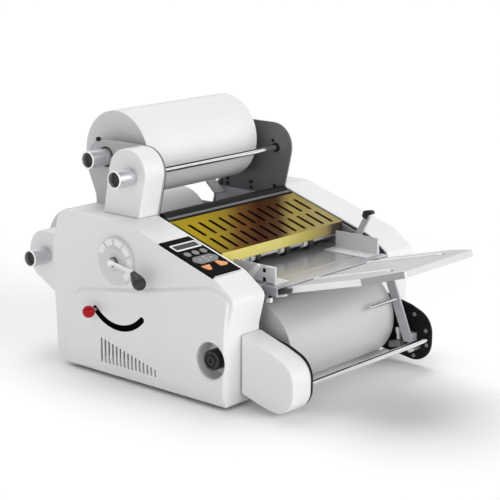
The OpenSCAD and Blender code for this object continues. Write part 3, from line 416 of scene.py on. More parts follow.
left_shell = cover_shell("left_shell", -1)
bowl_x = 3 - BOWL_FLOOR_X
carve(left_shell, spun("bowl_wall", bar(0, 41, BOWL_R + 2), bowl_x, BOWL_AXIS), how="UNION")
flare = [(38 + 4.5 * sin(a), BOWL_R + 4.5 - 4.5 * cos(a)) for a in (0, 0.3, 0.6, 0.9, 1.2, 1.5)]
bowl = [(3, 0), (3, BOWL_R - 4), (4.2, BOWL_R - 1.2), (7, BOWL_R), *flare, (50, BOWL_R + 5), (50, 0)]
carve(left_shell, spun("bowl_mouth", bowl, bowl_x, BOWL_AXIS, 96))
for hole, profile, x, axis in (("shaft_hole", bar(-20, 12, 9), bowl_x, BOWL_AXIS),
                               ("dial_seat", bar(0.2, 9, 47.6), -COVER_OUTER_X, DIAL_AXIS),
                               ("crank_hole", bar(-8, 4, 6), -COVER_OUTER_X, DIAL_AXIS),
                               ("stud_hole", bar(-8, 9, 4.6), -COVER_OUTER_X, SLOT_AXIS)):
    carve(left_shell, spun(hole, profile, x, axis))


def slot_ring(half):
    """Outline of the curved slot with round ends, half its width from the middle line."""
    ring = []
    for way in (1, -1):
        ring += arc(SLOT_AXIS, SLOT_R + way * half, -90 - way * SLOT_SPAN, -90 + way * SLOT_SPAN, 32)
        end, start = arc(SLOT_AXIS, SLOT_R, -90, -90 + way * SLOT_SPAN, 1)[1], way * (SLOT_SPAN - 90)
        ring += arc(end, half, start, start + 180, 8)[1:-1]
    return ring


carve(left_shell, slab("lever_slot", slot_ring(SLOT_HALF), -266, -286))
pocket = [(3, 3), (72, 3), (72, 131), (3, 131)]
carve(left_shell, drawn("panel_pocket", [[on_panel(u, v, h) for u, v in pocket] for h in (-9, 4)]))
cover_paint = surface("cover_paint", (226, 226, 227), 0.42, grain=900, tone=0.012, relief=0.02)
fit(left_shell, cover_paint, "frame", "shell_white", "left_cover")
fit(cover_shell("right_shell", 1), cover_paint, "frame", "shell_white", "right_cover")

# A black strip behind the curved slot and a black lining on its walls are painted shade, so that the
# slot reads as a solid dark hollow.
dust_black = surface("dust_black", (9, 9, 9), 0.8, grain=1200, tone=0.2, relief=0.05, shine=0.1)
shade_strip_edge = arc(SLOT_AXIS, SLOT_R + SHADE_STRIP_HALF, -150, -30, 30)
shade_strip_edge += arc(SLOT_AXIS, SLOT_R - SHADE_STRIP_HALF, -30, -150, 30)
fit(slab("dust_strip", shade_strip_edge, -262, -264), dust_black, "frame", "wheel_black", edge=0.3)
shade_lining = slab("slot_liner", slot_ring(SLOT_HALF - 0.03), 3.1 - PANEL_X, -PANEL_X - 0.05)
carve(shade_lining, slab("inside", slot_ring(SLOT_HALF - 0.6), -270, -286))
fit(shade_lining, dust_black, "frame", "wheel_black")


# --- Film brackets ---
# Steel plates carry the ends of the rolls and rods: dark paint on the upper and lower ones. On the
# left, white moulded caps cover the brakes of the front rod, the lower rod and the rear roll.
UPPER_ROLL, LOWER_ROLL, REAR_ROLL, FRONT_ROD = (208.5, 413), (-147, 91), (337, 204), (90, 396)
CAP_X, CAP_RIM, CAP_WALL = 239, 3, 2.5


def two_tone(skin, other, axis, split):
    """Paints all of a finish that lies below a place on the X or Z axis in a second colour."""
    add_node(skin, "parts", "SeparateXYZ")
    add_node(skin, "past", "Math", {1: place(split, 0, split)["XYZ".index(axis)]}, operation="GREATER_THAN")
    add_ramp(skin, "other", [(i, [c * tone for c in ink(*other)]) for i, tone in enumerate((0.97, 1.03))])
    add_node(skin, "choice", "Mix", data_type="RGBA")
    wire(skin, "where.Object > parts.0", f"parts.{axis} > past.0", "mottle.0 > other.Fac",
         "past.0 > choice.0", "other.Color > choice.6", "shades.Color > choice.7",
         "choice.2 > shader.Base Color")
    return skin


dress("upper_plates", two_tone(surface("upper_plate_paint", (104, 104, 107), 0.45, grain=700, tone=0.08),
                               (178, 178, 181), "X", -188.6))
dress("lower_plates", surface("lower_plate_paint", (30, 30, 32), 0.5, grain=700, tone=0.08, shine=0.1))
dress("rear_plates", surface("rear_plate_paint", (176, 176, 179), 0.45, grain=700, tone=0.04))
screw_finish = two_tone(surface("plate_screw_finish", (20, 20, 21), 0.45, relief=0.02, shine=0.3),
                        (132, 132, 134), "Z", 150)
dress("plate_screws", screw_finish, 0.5)


cap_paint = surface("cap_paint", (226, 226, 227), 0.36, grain=900, tone=0.012, relief=0.02)
for name, shaft, shaft_r, outline in (
        ("upper", FRONT_ROD, 6.2, [(70, 317, 3.2), (167, 317, 3.2), (141, 447, 45), (38.5, 447, 45)]),
        ("lower", None, 0, [(-188, 28, 3.2), (-188, 140.5, 3.2), (-258.4, 118.6, 41), (-311.4, 97, 45.5),
                            (-310.4, 9.8, 41.5), (-266, 7.5, 37), (-232, 14.5, 30)]),
        ("rear", REAR_ROLL, 8.2, [(279, 112, 3.2), (302, 124, 30), (387, 168, 44), (387, 253, 44),
                                  (279, 253, 3.2)])):
    cap = moulded(name + "_cap", outline, CAP_X, CAP_RIM, -1)
    carve(cap, slab("hollow", rounded(outline, CAP_WALL), -180, CAP_WALL - CAP_X))
    if shaft:
        carve(cap, spun("shaft_hole", bar(0, 12, shaft_r), 6 - CAP_X, shaft))
    fit(cap, cap_paint, "frame", "shell_white", name + "_bracket_cover")


# Small fittings: a small black stud and a dark ring, the knob's painted shadow, on the upper left
# plate, a washer and a bolt at the front rod's right end, and a fourth screw, a standoff, its block and a
# spacer bar below.
PLATE_X = 185
pin_black = surface("pin_black", (16, 16, 17), 0.5, grain=700, tone=0.1, shine=0.3)
ring_felt = surface("ring_felt", (46, 46, 48), 0.8, grain=900, tone=0.15, relief=0.06, shine=0.2)
pan_head = [(-1.5, 0), (-1.5, 2.4), (0, 2.4), (0, 4), (1.2, 3.7), (2, 2.4), (2, 0)]
stud_shape = [(-3, 0), (-3, 3), (0, 3), (0, 4.4), (5.2, 4.4), (6.2, 3.4), (6.2, 0)]
shadow_ring_shape = [(0.02, 16.8), (0.02, 20.4), (0.3, 20.4), (0.3, 16.8)]
washer_shape = [(0.02, 6.6), (0.02, 10), (1.2, 10), (1.6, 9.4), (1.6, 6.6)]
for name, profile, x, axis, steps, skin, slot, looks in (
        ("lower_plate_screw", pan_head, PLATE_X, (-302, 44.5), 32, screw_finish, "screw_black", {"angle": 50}),
        # A small black stud at the top corner of the upper left plate.
        ("upper_stop_pin", stud_shape, -COVER_INNER_X, (227, 446.5), 32, pin_black, "screw_black", {}),
        # The dark ring around the upper knob's base is painted shadow of the knob on the plate.
        ("upper_brake_ring", shadow_ring_shape, -COVER_INNER_X, UPPER_ROLL, 72, ring_felt, "knob_black", {"edge": 0.1}),
        ("front_rod_washer", washer_shape, PLATE_X, FRONT_ROD, 48, pin_black, "screw_black", {}),
        ("front_rod_bolt", pan_head, PLATE_X, (98, 410), 32, pin_black, "screw_black", {"angle": 50})):
    fit(spun(name, profile, x, axis, steps), skin, "frame", slot, **looks)
standoff_chrome = surface("standoff_chrome", (232, 232, 234), 0.2, 0.8, grain=60, relief=0.004)
standoff_shape = [(0, 0), (0, 5), (13, 5), (13.4, 4.6), (13.4, 7), (24, 7), (24.6, 6.4), (24.6, 0)]
fit(turned("lower_standoff", standoff_shape, place(174, -243, 49), (0, 0.1, 1), 6), standoff_chrome, "frame",
    "chrome_rod", edge=0.4)
block_edge = rounded([(-223, 29, 3), (-223, 42, 3), (-250, 49.2, 3), (-250, 35, 3)], 0, 4)
block_zinc = surface("block_zinc", (138, 138, 140), 0.4, 0.5, grain=300, tone=0.1)
fit(slab("lower_block", block_edge, 167, PLATE_X), block_zinc, "frame", "light_plate", edge=0.5)
fit(spun("lower_spacer", [(0, 0), (0, 4.4), (0.6, 5), (32, 5), (32, 0)], 153, (-283, 38), 40, 1),
    standoff_chrome, "frame", "chrome_rod")


# --- Film rolls ---
# Clear laminating film wound on paper cores: new white rolls above and below, and a greyer rewind
# roll at the back. The wound edges show as fine rings on the ends.
ROLL_HALF, CORE_R, CORE_BORE = 160.5, 24, 19.25


def wound_film(name, colour, axis):
    """Glossy film: rings of wound edges on the ends and faint bands along the turns."""
    skin = surface(name, colour, 0.3, stretch=(1, 14, 14), grain=26, tone=0.02, relief=0.05)
    middle = place(0, *axis)
    add_node(skin, "centre", "Mapping", {"Location": (0, -middle.y, -middle.z), "Scale": (0, 1, 1)})
    add_node(skin, "radius", "VectorMath", operation="LENGTH")
    add_node(skin, "rings", "TexNoise", {"Scale": 700.0, "Detail": 4.0}, noise_dimensions="1D")
    wire(skin, "where.Object > centre.Vector", "centre.Vector > radius.0", "radius.Value > rings.W",
         "rings.Fac > mottle.2", "rings.Fac > relief.Height")
    return skin


def paint(piece, skins, choose):
    """Gives a piece more finishes, and each face the one whose number choose gives."""
    for skin in skins:
        piece.data.materials.append(skin)
    for face in piece.data.polygons:
        face.material_index = choose(face)


core_board = surface("core_board", (196, 190, 178), 0.8, grain=400, tone=0.08, relief=0.05)
film_edges = surface("film_edges", (207, 207, 209), 0.5, stretch=(1, 3, 3), grain=300)
core_half = [(ROLL_HALF, CORE_BORE), (ROLL_HALF, CORE_R - 0.1)]


def mirrored(half):
    """A profile of (distance, radius) points that is the same to both sides."""
    return [(-x, r) for x, r in half] + half[::-1]


# The turns of a roll stand out a little here and there on its ends. The lower roll is the same white
# film as the upper one, painted greyer as painted shade under the feed table.
for name, axis, r, shift, colour, slot in (("upper", UPPER_ROLL, 87.6, 0, (224, 224, 225), "film_white"),
                                           ("lower", LOWER_ROLL, 88, 6, (198, 198, 200), "film_white"),
                                           ("rear", REAR_ROLL, 82, 0, (196, 196, 199), "film_grey")):
    turns = [(0.4, CORE_R), (0.1, r * 0.42), (0.5, r * 0.43), (0.2, r * 0.66), (0, r * 0.67),
             (0.1, r - 1.6), (0.4, r - 0.7), (1.2, r)]
    half = [(ROLL_HALF - depth, at) for depth, at in turns]
    film = spun(name + "_roll_film", mirrored(half), shift, axis, 128, 1)
    fit(film, wound_film(name + "_film_finish", colour, axis), name + "_roll", slot, name + "_film")
    paint(film, [film_edges], lambda face: int(abs(face.normal.x) > 0.9))
    core = spun(name + "_roll_core", mirrored(core_half), shift, axis, 64, 1)
    fit(core, core_board, name + "_roll", slot, edge=0.3)


# --- Guide rods, mandrels and tension knobs ---
# Ground and chromed steel rods and steel mandrels. Their brakes are set by turned knobs on the
# left: bright tubes with a dark recessed end, and a black one in the recess of the cover.
chrome = surface("rod_chrome", (236, 236, 238), 0.08, 1.0, stretch=(1, 30, 30), grain=30,
                 wander=0.03, relief=0.004)
ground_steel = surface("ground_steel", (190, 190, 194), 0.3, 1.0, stretch=(40, 1, 1), grain=30,
                       tone=0.05, relief=0.006)
for rod in ("front_rod", "lower_rod", "support_rods"):
    dress(rod, chrome, 0.6)
for shaft in ("upper_mandrel", "lower_mandrel", "rear_mandrel"):
    dress(shaft, ground_steel, 0.6)

KNOB_R, KNOB_LEN, KNOB_X, CAP_KNOB_X = 17.5, 44, -189.5, -239.5
KNOB_BRIM, UPPER_KNOB_OUT = 0.002, 0.006
knob_tube = [(0, 9), (0, 15.6), (0.8, 16.4), (5, 16.4), (5.6, 15.8), (6.6, 15.8), (7.4, KNOB_R - 0.2),
             (8.2, KNOB_R), (42.6, KNOB_R), (43.6, KNOB_R - 0.5), (KNOB_LEN, KNOB_R - 1.2),
             (KNOB_LEN, 14.9), (43.4, 14.5), (30, 14.5), (30, 9)]
knob_end = [(33, 0), (33, 14.4), (36.2, 14.4), (36.6, 14.0), (36.6, 9.4), (36.2, 9.0), (35.6, 8.8),
            (35.6, 4.2), (36.4, 3.8), (36.4, 0)]
knob_metal = surface("knob_metal", (204, 204, 207), 0.34, 0.6, stretch=(30, 1, 1), grain=40,
                     tone=0.05, relief=0.005)
knob_dark = surface("knob_dark", (58, 58, 60), 0.55, grain=900, tone=0.12, shine=0.3)
knob_rim = surface("knob_rim", (248, 248, 249), 0.3, tone=0.02, relief=0.01)


def copied(piece, name, shift):
    """A copy of a piece with a mesh of its own, moved by a shift in metres."""
    pick(piece)
    bpy.ops.object.duplicate()
    twin = bpy.context.object
    twin.name = twin.data.name = name
    bpy.ops.object.mode_set(mode="EDIT")
    bpy.ops.mesh.select_all(action="SELECT")
    bpy.ops.transform.translate(value=shift)
    bpy.ops.object.mode_set(mode="OBJECT")
    return twin


knob_seat = place(KNOB_X, *UPPER_ROLL)
knobs = {"upper": [spun("upper_knob_tube", knob_tube, KNOB_X, UPPER_ROLL, 96),
                   spun("upper_knob_end", knob_end, KNOB_X, UPPER_ROLL)]}
for name, axis in (("front", FRONT_ROD), ("rear", REAR_ROLL)):
    shift = place(CAP_KNOB_X, *axis) - knob_seat
    knobs[name] = [copied(piece, piece.name.replace("upper", name), shift) for piece in knobs["upper"]]
# The upper knob stands a little further out than the others.
for piece in knobs["upper"]:
    for vert in piece.data.vertices:
        if vert.co.x < knob_seat.x - KNOB_BRIM:
            vert.co.x -= UPPER_KNOB_OUT
for name, (tube, end) in knobs.items():
    fit(tube, knob_metal, name + "_tension", "knob_metal", name + "_knob")
    # The outward faces at the tube's end are painted near white: a painted highlight on the rim of the tube.
    rim_x = min(v.co.x for v in tube.data.vertices) + KNOB_BRIM
    paint(tube, [knob_rim], lambda face: int(face.center.x < rim_x and face.normal.x < -0.25))
    fit(end, knob_dark, name + "_tension", "knob_black")

black_knob = [(0, 9), (0, 18.2), (0.8, 18.9), (3, 18.9), (4, 18), (6, 18), (7, 19.1), (7.8, 19.4),
              (32.5, 19.4), (34.2, 18.8), (35.5, 17.2), (36, 15.2), (35.4, 13.6), (33.4, 12.9), (33.4, 10.4),
              (34.6, 9.8), (36.2, 9.1), (37, 7.8), (37, 4.9), (36.2, 4), (34, 3.5), (34, 0), (26, 0), (26, 9)]
fit(spun("lower_knob_grip", black_knob, -240.5, LOWER_ROLL, 96),
    surface("knob_black", (22, 22, 23), 0.42, grain=900, tone=0.15), "lower_tension", "knob_black",
    "lower_knob")


# --- Rollers and drive ---
# A heated roller with a dark coating presses the sheet on a silicone roller, and two rubber pull
# rollers draw it out at the back. A motor in the right cover turns them through a pair of gears.
pull_rubber = surface("pull_rubber", (44, 44, 46), 0.7, grain=700, tone=0.1, relief=0.04)
for node, edge, skin in (
        ("heat_roller", 1.0, surface("hot_coating", (30, 28, 28), 0.45, stretch=(40, 1, 1), grain=30,
                                     tone=0.08, relief=0.01, shine=0.3)),
        ("rubber_roller", 1.0, surface("silicone_rubber", (62, 60, 60), 0.62, grain=600, tone=0.06)),
        ("pull_roller_upper", 1.0, pull_rubber),
        ("pull_roller_lower", 1.0, pull_rubber),
        ("heat_gear", 0.3, surface("gear_nylon", (38, 38, 40), 0.5, grain=600, tone=0.1, relief=0.02)),
        ("motor_pinion", 0.3, surface("pinion_brass", (190, 158, 92), 0.3, 1.0, grain=200, tone=0.06,
                                      relief=0.01)),
        ("roller_bearings", 0.4, surface("bearing_bronze", (178, 148, 96), 0.38, 0.9, grain=200,
                                         tone=0.06, relief=0.01)),
        ("drive_motor", 0.8, surface("motor_case", (52, 52, 55), 0.45, 0.4, grain=400, tone=0.08)),
        ("circuit_board", 0.3, surface("board_lacquer", (34, 88, 52), 0.35, grain=250, tone=0.25)),
        ("press_shaft", 0.5, chrome)):
    dress(node, skin, edge)

# The press wheels are black rollers with two grooves and a moulded hub, pressed on the shaft. A
# grey plastic collar keeps each one in place.
PRESS_AXIS, PRESS_X = (-74, 237), (-73, 14, 86)


def on_press_shaft(name, shape, steps, skin, *stands_for):
    """Three like pieces in a row on the press shaft."""
    row = [spun(name + "_1", shape, PRESS_X[0], PRESS_AXIS, steps, 1)]
    for i in (1, 2):
        row.append(copied(row[0], f"{name}_{i + 1}", Vector((PRESS_X[i] - PRESS_X[0], 0, 0)) / 1000))
    for piece in row:
        fit(piece, skin, "press_wheel_shaft", "wheel_black", *stands_for)


wheel_half = [(5, 5.05), (5, 9), (4.2, 9.6), (4.2, 12.6), (5, 13.2), (5, 14.2), (4.4, 15), (2.2, 15),
              (1.8, 14.2), (1.2, 14.2), (0.8, 15)]
collar = [(-17, 5.05), (-17, 8.2), (-16.4, 8.8), (-12, 8.8), (-11.6, 8), (-10.4, 8), (-10, 8.8), (-5.8, 8.8),
          (-5.1, 8.2), (-5.1, 5.05)]
on_press_shaft("press_wheel", mirrored(wheel_half), 64,
               surface("wheel_black", (26, 26, 27), 0.3, grain=700, tone=0.12, relief=0.02, shine=0.7),
               "press_wheels")
on_press_shaft("press_collar", collar, 48,
               surface("collar_grey", (206, 206, 207), 0.35, grain=600, tone=0.04, relief=0.02))


# --- Heat guard and cross bar ---
# A gold anodised sheet with two rows of punched slots and a folded front lip covers the hot
# roller, with a black sheet under it that is painted shade in the slots. It swings up on two pins in front of a
# black bar.
GUARD_HALF, GUARD_T, GUARD_LIP, GUARD_FRONT, GUARD_REAR = 181.5, 1.5, 22, -90, 40
GUARD_PIN, GUARD_DROP, GUARD_MIDDLE, SLOTTED_HALF = (40, 304), 0.5, -32.5, 0.178
PUNCH_ROWS, PUNCH_COUNT, PUNCH_PITCH, PUNCH_RUN, PUNCH_HALF = (-4.5, -60.5), 12, 28.6, 49, 4.2


def guard_z(y):
    """Height of the guard's upper face, a little under the slope of the covers."""
    return SLOPE_HEAD[1] + (y - SLOPE_HEAD[0]) * tan(SLOPE) - GUARD_DROP


lip_back, lip_low = GUARD_FRONT + GUARD_T, guard_z(GUARD_FRONT) - GUARD_LIP
guard_section = [(GUARD_FRONT, guard_z(GUARD_FRONT), 3), (GUARD_FRONT, lip_low, 0.4),
                 (lip_back, lip_low, 0.4), (lip_back, guard_z(lip_back) - GUARD_T, 1.5),
                 (GUARD_REAR, guard_z(GUARD_REAR) - GUARD_T, 0.4), (GUARD_REAR, guard_z(GUARD_REAR), 0.4)]
guard = slab("guard_sheet", rounded(guard_section, steps=5), -GUARD_HALF, GUARD_HALF)
half_run = PUNCH_RUN * cos(SLOPE) / 2
punches = []
for row in PUNCH_ROWS:
    for i in range(PUNCH_COUNT):
        x = (i - (PUNCH_COUNT - 1) / 2) * PUNCH_PITCH
        punch = stadium(x, row - half_run, row + half_run, PUNCH_HALF)
        punches.append(drawn("punch", [[place(*p, guard_z(row) + h) for p in punch] for h in (-20, 20)]))
carve(guard, *punches)
ear_edge = [(28, guard_z(28) - 0.8), (28, 301), (42, 301), (42, guard_z(39) - 0.8)]
for side in (-1, 1):
    ear = slab("ear", ear_edge, side * (GUARD_HALF - GUARD_T), side * (GUARD_HALF - 0.05))
    carve(guard, ear, how="UNION")
    pin = [(0, 0), (0, 3), (4, 3), (4.5, 2.4), (4.5, 0)]
    carve(guard, spun("pin", pin, side * 180.2, GUARD_PIN, 32, side), how="UNION")


def heat_and_reflection_tinted(skin, stops, lean=0.0):
    """Lets a finish change colour across the machine, at stops of (x in mm, colour) that lean with y: heat tint
    and painted reflection.
    """
    line, first, last = Vector((1, -lean, 0)), stops[0][0], stops[-1][0]
    add_node(skin, "way", "VectorMath", {1: line}, operation="DOT_PRODUCT")
    add_node(skin, "span", "MapRange", {"From Min": place(first, GUARD_MIDDLE, 0).dot(line),
                                        "From Max": place(last, GUARD_MIDDLE, 0).dot(line)})
    add_ramp(skin, "tint", [((x - first) / (last - first), ink(*colour)) for x, colour in stops])
    add_node(skin, "clouded", "Mix", {0: 0.25}, data_type="RGBA", blend_type="SOFT_LIGHT")
    wire(skin, "where.Object > way.0", "way.Value > span.Value", "span.Result > tint.Fac",
         "tint.Color > clouded.6", "mottle.0 > clouded.7", "clouded.2 > shader.Base Color")
    return skin


rolled = {"stretch": (1, 20, 20), "grain": 24, "wander": 0.04, "relief": 0.006}
# The sheet is painted with heat tint and painted reflection, dark brown across the middle and greyer to the
# right. The lip is painted lighter than the sheet as painted light on the front fold, and darker towards its
# right end.
gold = heat_and_reflection_tinted(surface("guard_gold", (150, 124, 30), 0.45, shine=0.03, **rolled),
                   [(-181, (164, 140, 26)), (-110, (140, 118, 34)), (-70, (102, 70, 24)),
                    (-10, (60, 28, 8)), (50, (72, 48, 24)), (90, (150, 132, 70)), (120, (146, 130, 72)),
                    (181, (154, 140, 92))], 1.1)
lip_gold = heat_and_reflection_tinted(surface("lip_gold", (200, 188, 110), 0.45, shine=0.06, **rolled),
                       [(-181, (222, 208, 118)), (-20, (214, 206, 124)), (60, (178, 166, 90)),
                        (130, (146, 132, 86)), (150, (76, 68, 58)), (181, (52, 48, 42))])
slot_wall = surface("slot_wall", (46, 16, 14), 0.6, tone=0.1, relief=0.02, shine=0.05)
lip_y, rear_y = place(0, GUARD_FRONT + 2, 0).y, place(0, GUARD_REAR - 2, 0).y


def guard_finish(face):
    """Gold on the sheet (0), lighter gold on the lip (1) as painted light, dark on the slot walls (2) as painted
    shade.
    """
    at, normal = face.center, face.normal
    if at.y < lip_y and normal.y < -0.9:
        return 1
    slotted = lip_y < at.y < rear_y and abs(at.x - machine_middle.x) < SLOTTED_HALF
    return 2 * (abs(normal.z) < 0.5 and slotted)


fit(guard, gold, "guard", "guard_gold", "heat_guard", edge=0.25)
paint(guard, [lip_gold, slot_wall], guard_finish)
# A black sheet under the guard, painted shade that keeps the slots dark.
under = [(GUARD_FRONT + 6, 5.2), (GUARD_FRONT + 6, 4.2), (GUARD_REAR - 10, 4.2), (GUARD_REAR - 10, 5.2)]
fit(slab("guard_shield", [(y, guard_z(y) - drop) for y, drop in under], -177, 177),
    surface("shield_black", (12, 11, 11), 0.7, tone=0.15, shine=0.1), "guard", "bar_black")
dress("top_cross_bar", surface("bar_paint", (30, 30, 32), 0.5, grain=700, tone=0.1, shine=0.1), 0.6)
fit(slab("bar_strip", [(47, 308.25), (54.5, 309.75), (54.5, 310.5), (47, 309)], -181, 181),
    surface("bar_strip", (112, 112, 114), 0.5, tone=0.06, relief=0.02), "frame", "bar_black", edge=0.2)


# --- Feed table, arms and paper fences ---
# A folded table of brushed steel in front of the rollers, on a flat arm at the right and a short
# hanger at the left. Two fences of bent sheet slide along its slot, each held by a screw below.
dress("feed_table", surface("table_steel", (190, 190, 194), 0.22, 0.5, stretch=(1, 30, 30), grain=24,
                            wander=0.03, relief=0.002), 0.5)
dress("table_arms", surface("arm_paint", (186, 186, 189), 0.45, grain=700, tone=0.04), 0.6)
FENCE_X, FENCE_T, FENCE_FOOT, FENCE_Z, FENCE_TOP = 154, 1.5, 38, 217.8, 251.8
FENCE_FRONT, FENCE_BACK, FENCE_FOLD, SCREW_Y, SCREW_Z = -200, -95, 5, -172, 210.7


def fence(name, side):
    """A bent fence: an upright wall with a folded front end, a foot and a clamp screw."""
    outer, toe = FENCE_X + FENCE_T, FENCE_X - FENCE_FOOT
    section = [(outer, FENCE_Z, 2.4), (outer, FENCE_TOP, 0.4), (FENCE_X, FENCE_TOP, 0.4),
               (FENCE_X, FENCE_Z + FENCE_T, 0.9), (toe, FENCE_Z + FENCE_T, 0.4), (toe, FENCE_Z, 0.4)]
    edge = rounded(section, steps=5)
    sheet = drawn(name + "_fence_sheet",
                  [[place(side * p[0], y, p[1]) for p in edge] for y in (FENCE_FRONT, FENCE_BACK)])
    screw = place(side * (FENCE_X - FENCE_FOOT / 2), SCREW_Y, SCREW_Z)
    pin = turned("pin", [(0, 0), (0, 5.6), (0.5, 6), (3.6, 6), (4, 5.6), (4, 2.4), (8.5, 2.4), (8.5, 4.6),
                         (9.6, 4.4), (10.4, 3.4), (10.4, 0)], screw, (0, 0, 1), 32)
    near, far = FENCE_X + 0.4, FENCE_X + FENCE_FOLD
    low, top = FENCE_Z + 0.1, FENCE_TOP - 0.1
    corners = (near, low), (far, low), (far, top), (near, top)
    fold = drawn("fold", [[place(side * x, y, z) for x, z in corners]
                          for y in (FENCE_FRONT + 0.05, FENCE_FRONT + FENCE_T)])
    carve(sheet, pin, fold, how="UNION")
    fit(sheet, fence_steel, name + "_guide", "fence_steel", name + "_fence", edge=0.25)


def box(a0, b0, a1, b1, r):
    """Corners of a rectangle, each with a radius."""
    return [(a0, b0, r), (a1, b0, r), (a1, b1, r), (a0, b1, r)]


fence_steel = surface("fence_steel", (214, 214, 217), 0.42, 0.2, stretch=(30, 1, 30), grain=24,
                      tone=0.04, relief=0.006)
fence("right", 1)
fence("left", -1)

# The left fence also has a bright brace and a top fold outside, and two black patches on its wall,
# painted shade that stands for two slots. The tray's left hinge has a dark link, a white strip and a
# white block on the table's hanger.
fence_bright = surface("fence_bright", (240, 240, 241), 0.4, tone=0.02, relief=0.02)
slot_black = surface("slot_black", (20, 20, 21), 0.7, grain=700, tone=0.1, shine=0.1)
link_grey = surface("link_grey", (74, 74, 76), 0.5, grain=600, tone=0.1)
brace_edge = rounded([(-156, 251.5, 0.5), (-164, 249, 0.5), (-143, 222, 0.5), (-128, 227, 0.5)], 0, 3)
top_edge = [(-200, 250.6), (-178, 250.6), (-178, 251.9), (-200, 251.9)]
slot_shade_edges = [rounded(box(-175, z, -168, z + h, 0.8), 0, 3) for z, h in ((238, 7.5), (220, 8.5))]
link_edge = [(-177, 195), (-177, 206), (-231, 216.5), (-231, 208)]
strip_edge = [(-197, 193), (-197, 197), (-221, 204), (-221, 200)]
hanger_edge = [(-192.5, 196), (-196, 196), (-196, 213), (-192.5, 213)]
block_edge = [(-187, 185), (-198, 187), (-198, 196), (-187, 194)]
for name, outlines, x0, x1, skin, body, slot, edge in (
        ("left_fence_brace", [brace_edge], -155.55, -158.5, fence_bright, "left_guide", "fence_steel", 0.3),
        ("left_fence_top", [top_edge], -155.55, -160, fence_bright, "left_guide", "fence_steel", 0.2),
        ("fence_slots", slot_shade_edges, -155.52, -155.8, slot_black, "left_guide", "screw_black", 0),
        ("hinge_link", [link_edge], -151, -147, link_grey, "frame", "dark_plate", 0.4),
        ("hinge_strip", [strip_edge], -151.5, -149, fence_bright, "frame", "strip_white", 0.3),
        ("hanger_strip", [hanger_edge], -168.5, -163, slot_black, "frame", "screw_black", 0.3),
        ("hanger_block", [block_edge], -169, -163, fence_bright, "frame", "strip_white", 0.5)):
    piece = joined([slab(name, outline, x0, x1) for outline in outlines])
    fit(piece, skin, body, slot, edge=edge)


# --- Hinged feed extension ---
# A tray of painted sheet with folded rims that hinges on two pins at the table's front edge. Two
# white plastic glide strips are screwed on top.
TRAY_PIVOT, TRAY_TILT = (-222, 210.5), radians(14.8)
TRAY_TOP, TRAY_RIM, TRAY_T = 7, 13, 2
TRAY_OUTLINE = [(-143.5, 5, 1.5), (143.5, 5, 1.5), (143.5, 168, 6), (106, 240, 6), (-106, 240, 6),
                (-143.5, 168, 6)]
STRIP_APART = Vector((-0.162, 0, 0))


def on_tray(x, out, h):
    """A point of the tray: across, outwards from the hinge line and up from it, in mm."""
    c, s = cos(TRAY_TILT), sin(TRAY_TILT)
    return place(x, TRAY_PIVOT[0] - out * c + h * s, TRAY_PIVOT[1] + out * s + h * c)


def tray_body(name, outline, rings, steps=10):
    """A body on the tray with an outline of (x, out, radius) at rings of (height, inset)."""
    return drawn(name, [[on_tray(*p, h) for p in rounded(outline, d, steps)] for h, d in rings])


tray_floor = TRAY_TOP - TRAY_T
tray = tray_body("tray_sheet", TRAY_OUTLINE, [(TRAY_TOP - down, inset) for down, inset in (
    (TRAY_RIM, 0), (1.6, 0), (0.8, 0.22), (0.22, 0.8), (0, 1.6))])
carve(tray, tray_body("hollow", TRAY_OUTLINE, [(-12, TRAY_T), (tray_floor, TRAY_T)]))
back_edge = [(-141.5, 0), (141.5, 0), (141.5, 9), (-141.5, 9)]
carve(tray, drawn("back", [[on_tray(*p, h) for p in back_edge] for h in (-12, tray_floor - 0.01)]))
ear_edge = [(6.5, -5.8), (6.5, 4.9), *arc((0, 0), 6, 90, 270, 12)]
for side in (-1, 1):
    ear = drawn("ear", [[on_tray(side * x, *p) for p in ear_edge] for x in (141.55, 143.45)])
    carve(tray, ear, how="UNION")
    carve(tray, turned("bore", bar(0, 6, 2.6), on_tray(side * 140, 0, 0), (side, 0, 0), 32))
tray_paint = surface("tray_paint", (206, 206, 208), 0.4, 0.2, stretch=(1, 20, 20), grain=30, relief=0.006)
tray_side = surface("tray_side", (244, 244, 245), 0.4, grain=400, relief=0.02)
tray_corner = surface("tray_corner", (150, 150, 152), 0.4, 0.3, grain=400, tone=0.05, relief=0.02)
# The underside is painted dark grey: painted shade under the tray.
tray_under = surface("tray_under", (66, 66, 68), 0.6, grain=400, tone=0.05, relief=0.02)


def tray_finish(face):
    """Grey on top (0), white on the side rims (1), darker on the corners (2), dark below (3) as painted shade.
    """
    if face.normal.z < -0.5:
        return 3
    slant = abs(face.normal.x)
    return 1 if slant > 0.95 else 2 if slant > 0.75 else 0


fit(tray, tray_paint, "extension", "table_grey", "feed_extension", edge=0.2)
paint(tray, [tray_side, tray_corner, tray_under], tray_finish)
strip_white = surface("strip_white", (252, 252, 252), 0.35, tone=0.02, relief=0.02)
right_strip = tray_body("glide_strip_1", box(75.5, 12, 86, 186, 1.6), [
    (TRAY_TOP + h, d) for h, d in ((0, 0), (2, 0), (2.6, 0.25), (2.9, 0.7))], 4)
for strip in (right_strip, copied(right_strip, "glide_strip_2", STRIP_APART)):
    fit(strip, strip_white, "extension", "strip_white", "extension_strips")
strip_screw = surface("strip_screw", (60, 60, 62), 0.4, 0.8, grain=400, relief=0.02)
screw_shape = [(-1.5, 0), (-1.5, 1.4), (0, 1.4), (0, 2.6), (0.7, 2.3), (1.1, 1.2), (1.1, 0)]
tray_up = on_tray(0, 0, 1) - on_tray(0, 0, 0)
right_screw = turned("strip_screw_1", screw_shape, on_tray(81, 193, TRAY_TOP), tray_up, 24)
for screw in (right_screw, copied(right_screw, "strip_screw_2", STRIP_APART)):
    fit(screw, strip_screw, "extension", "screw_black")


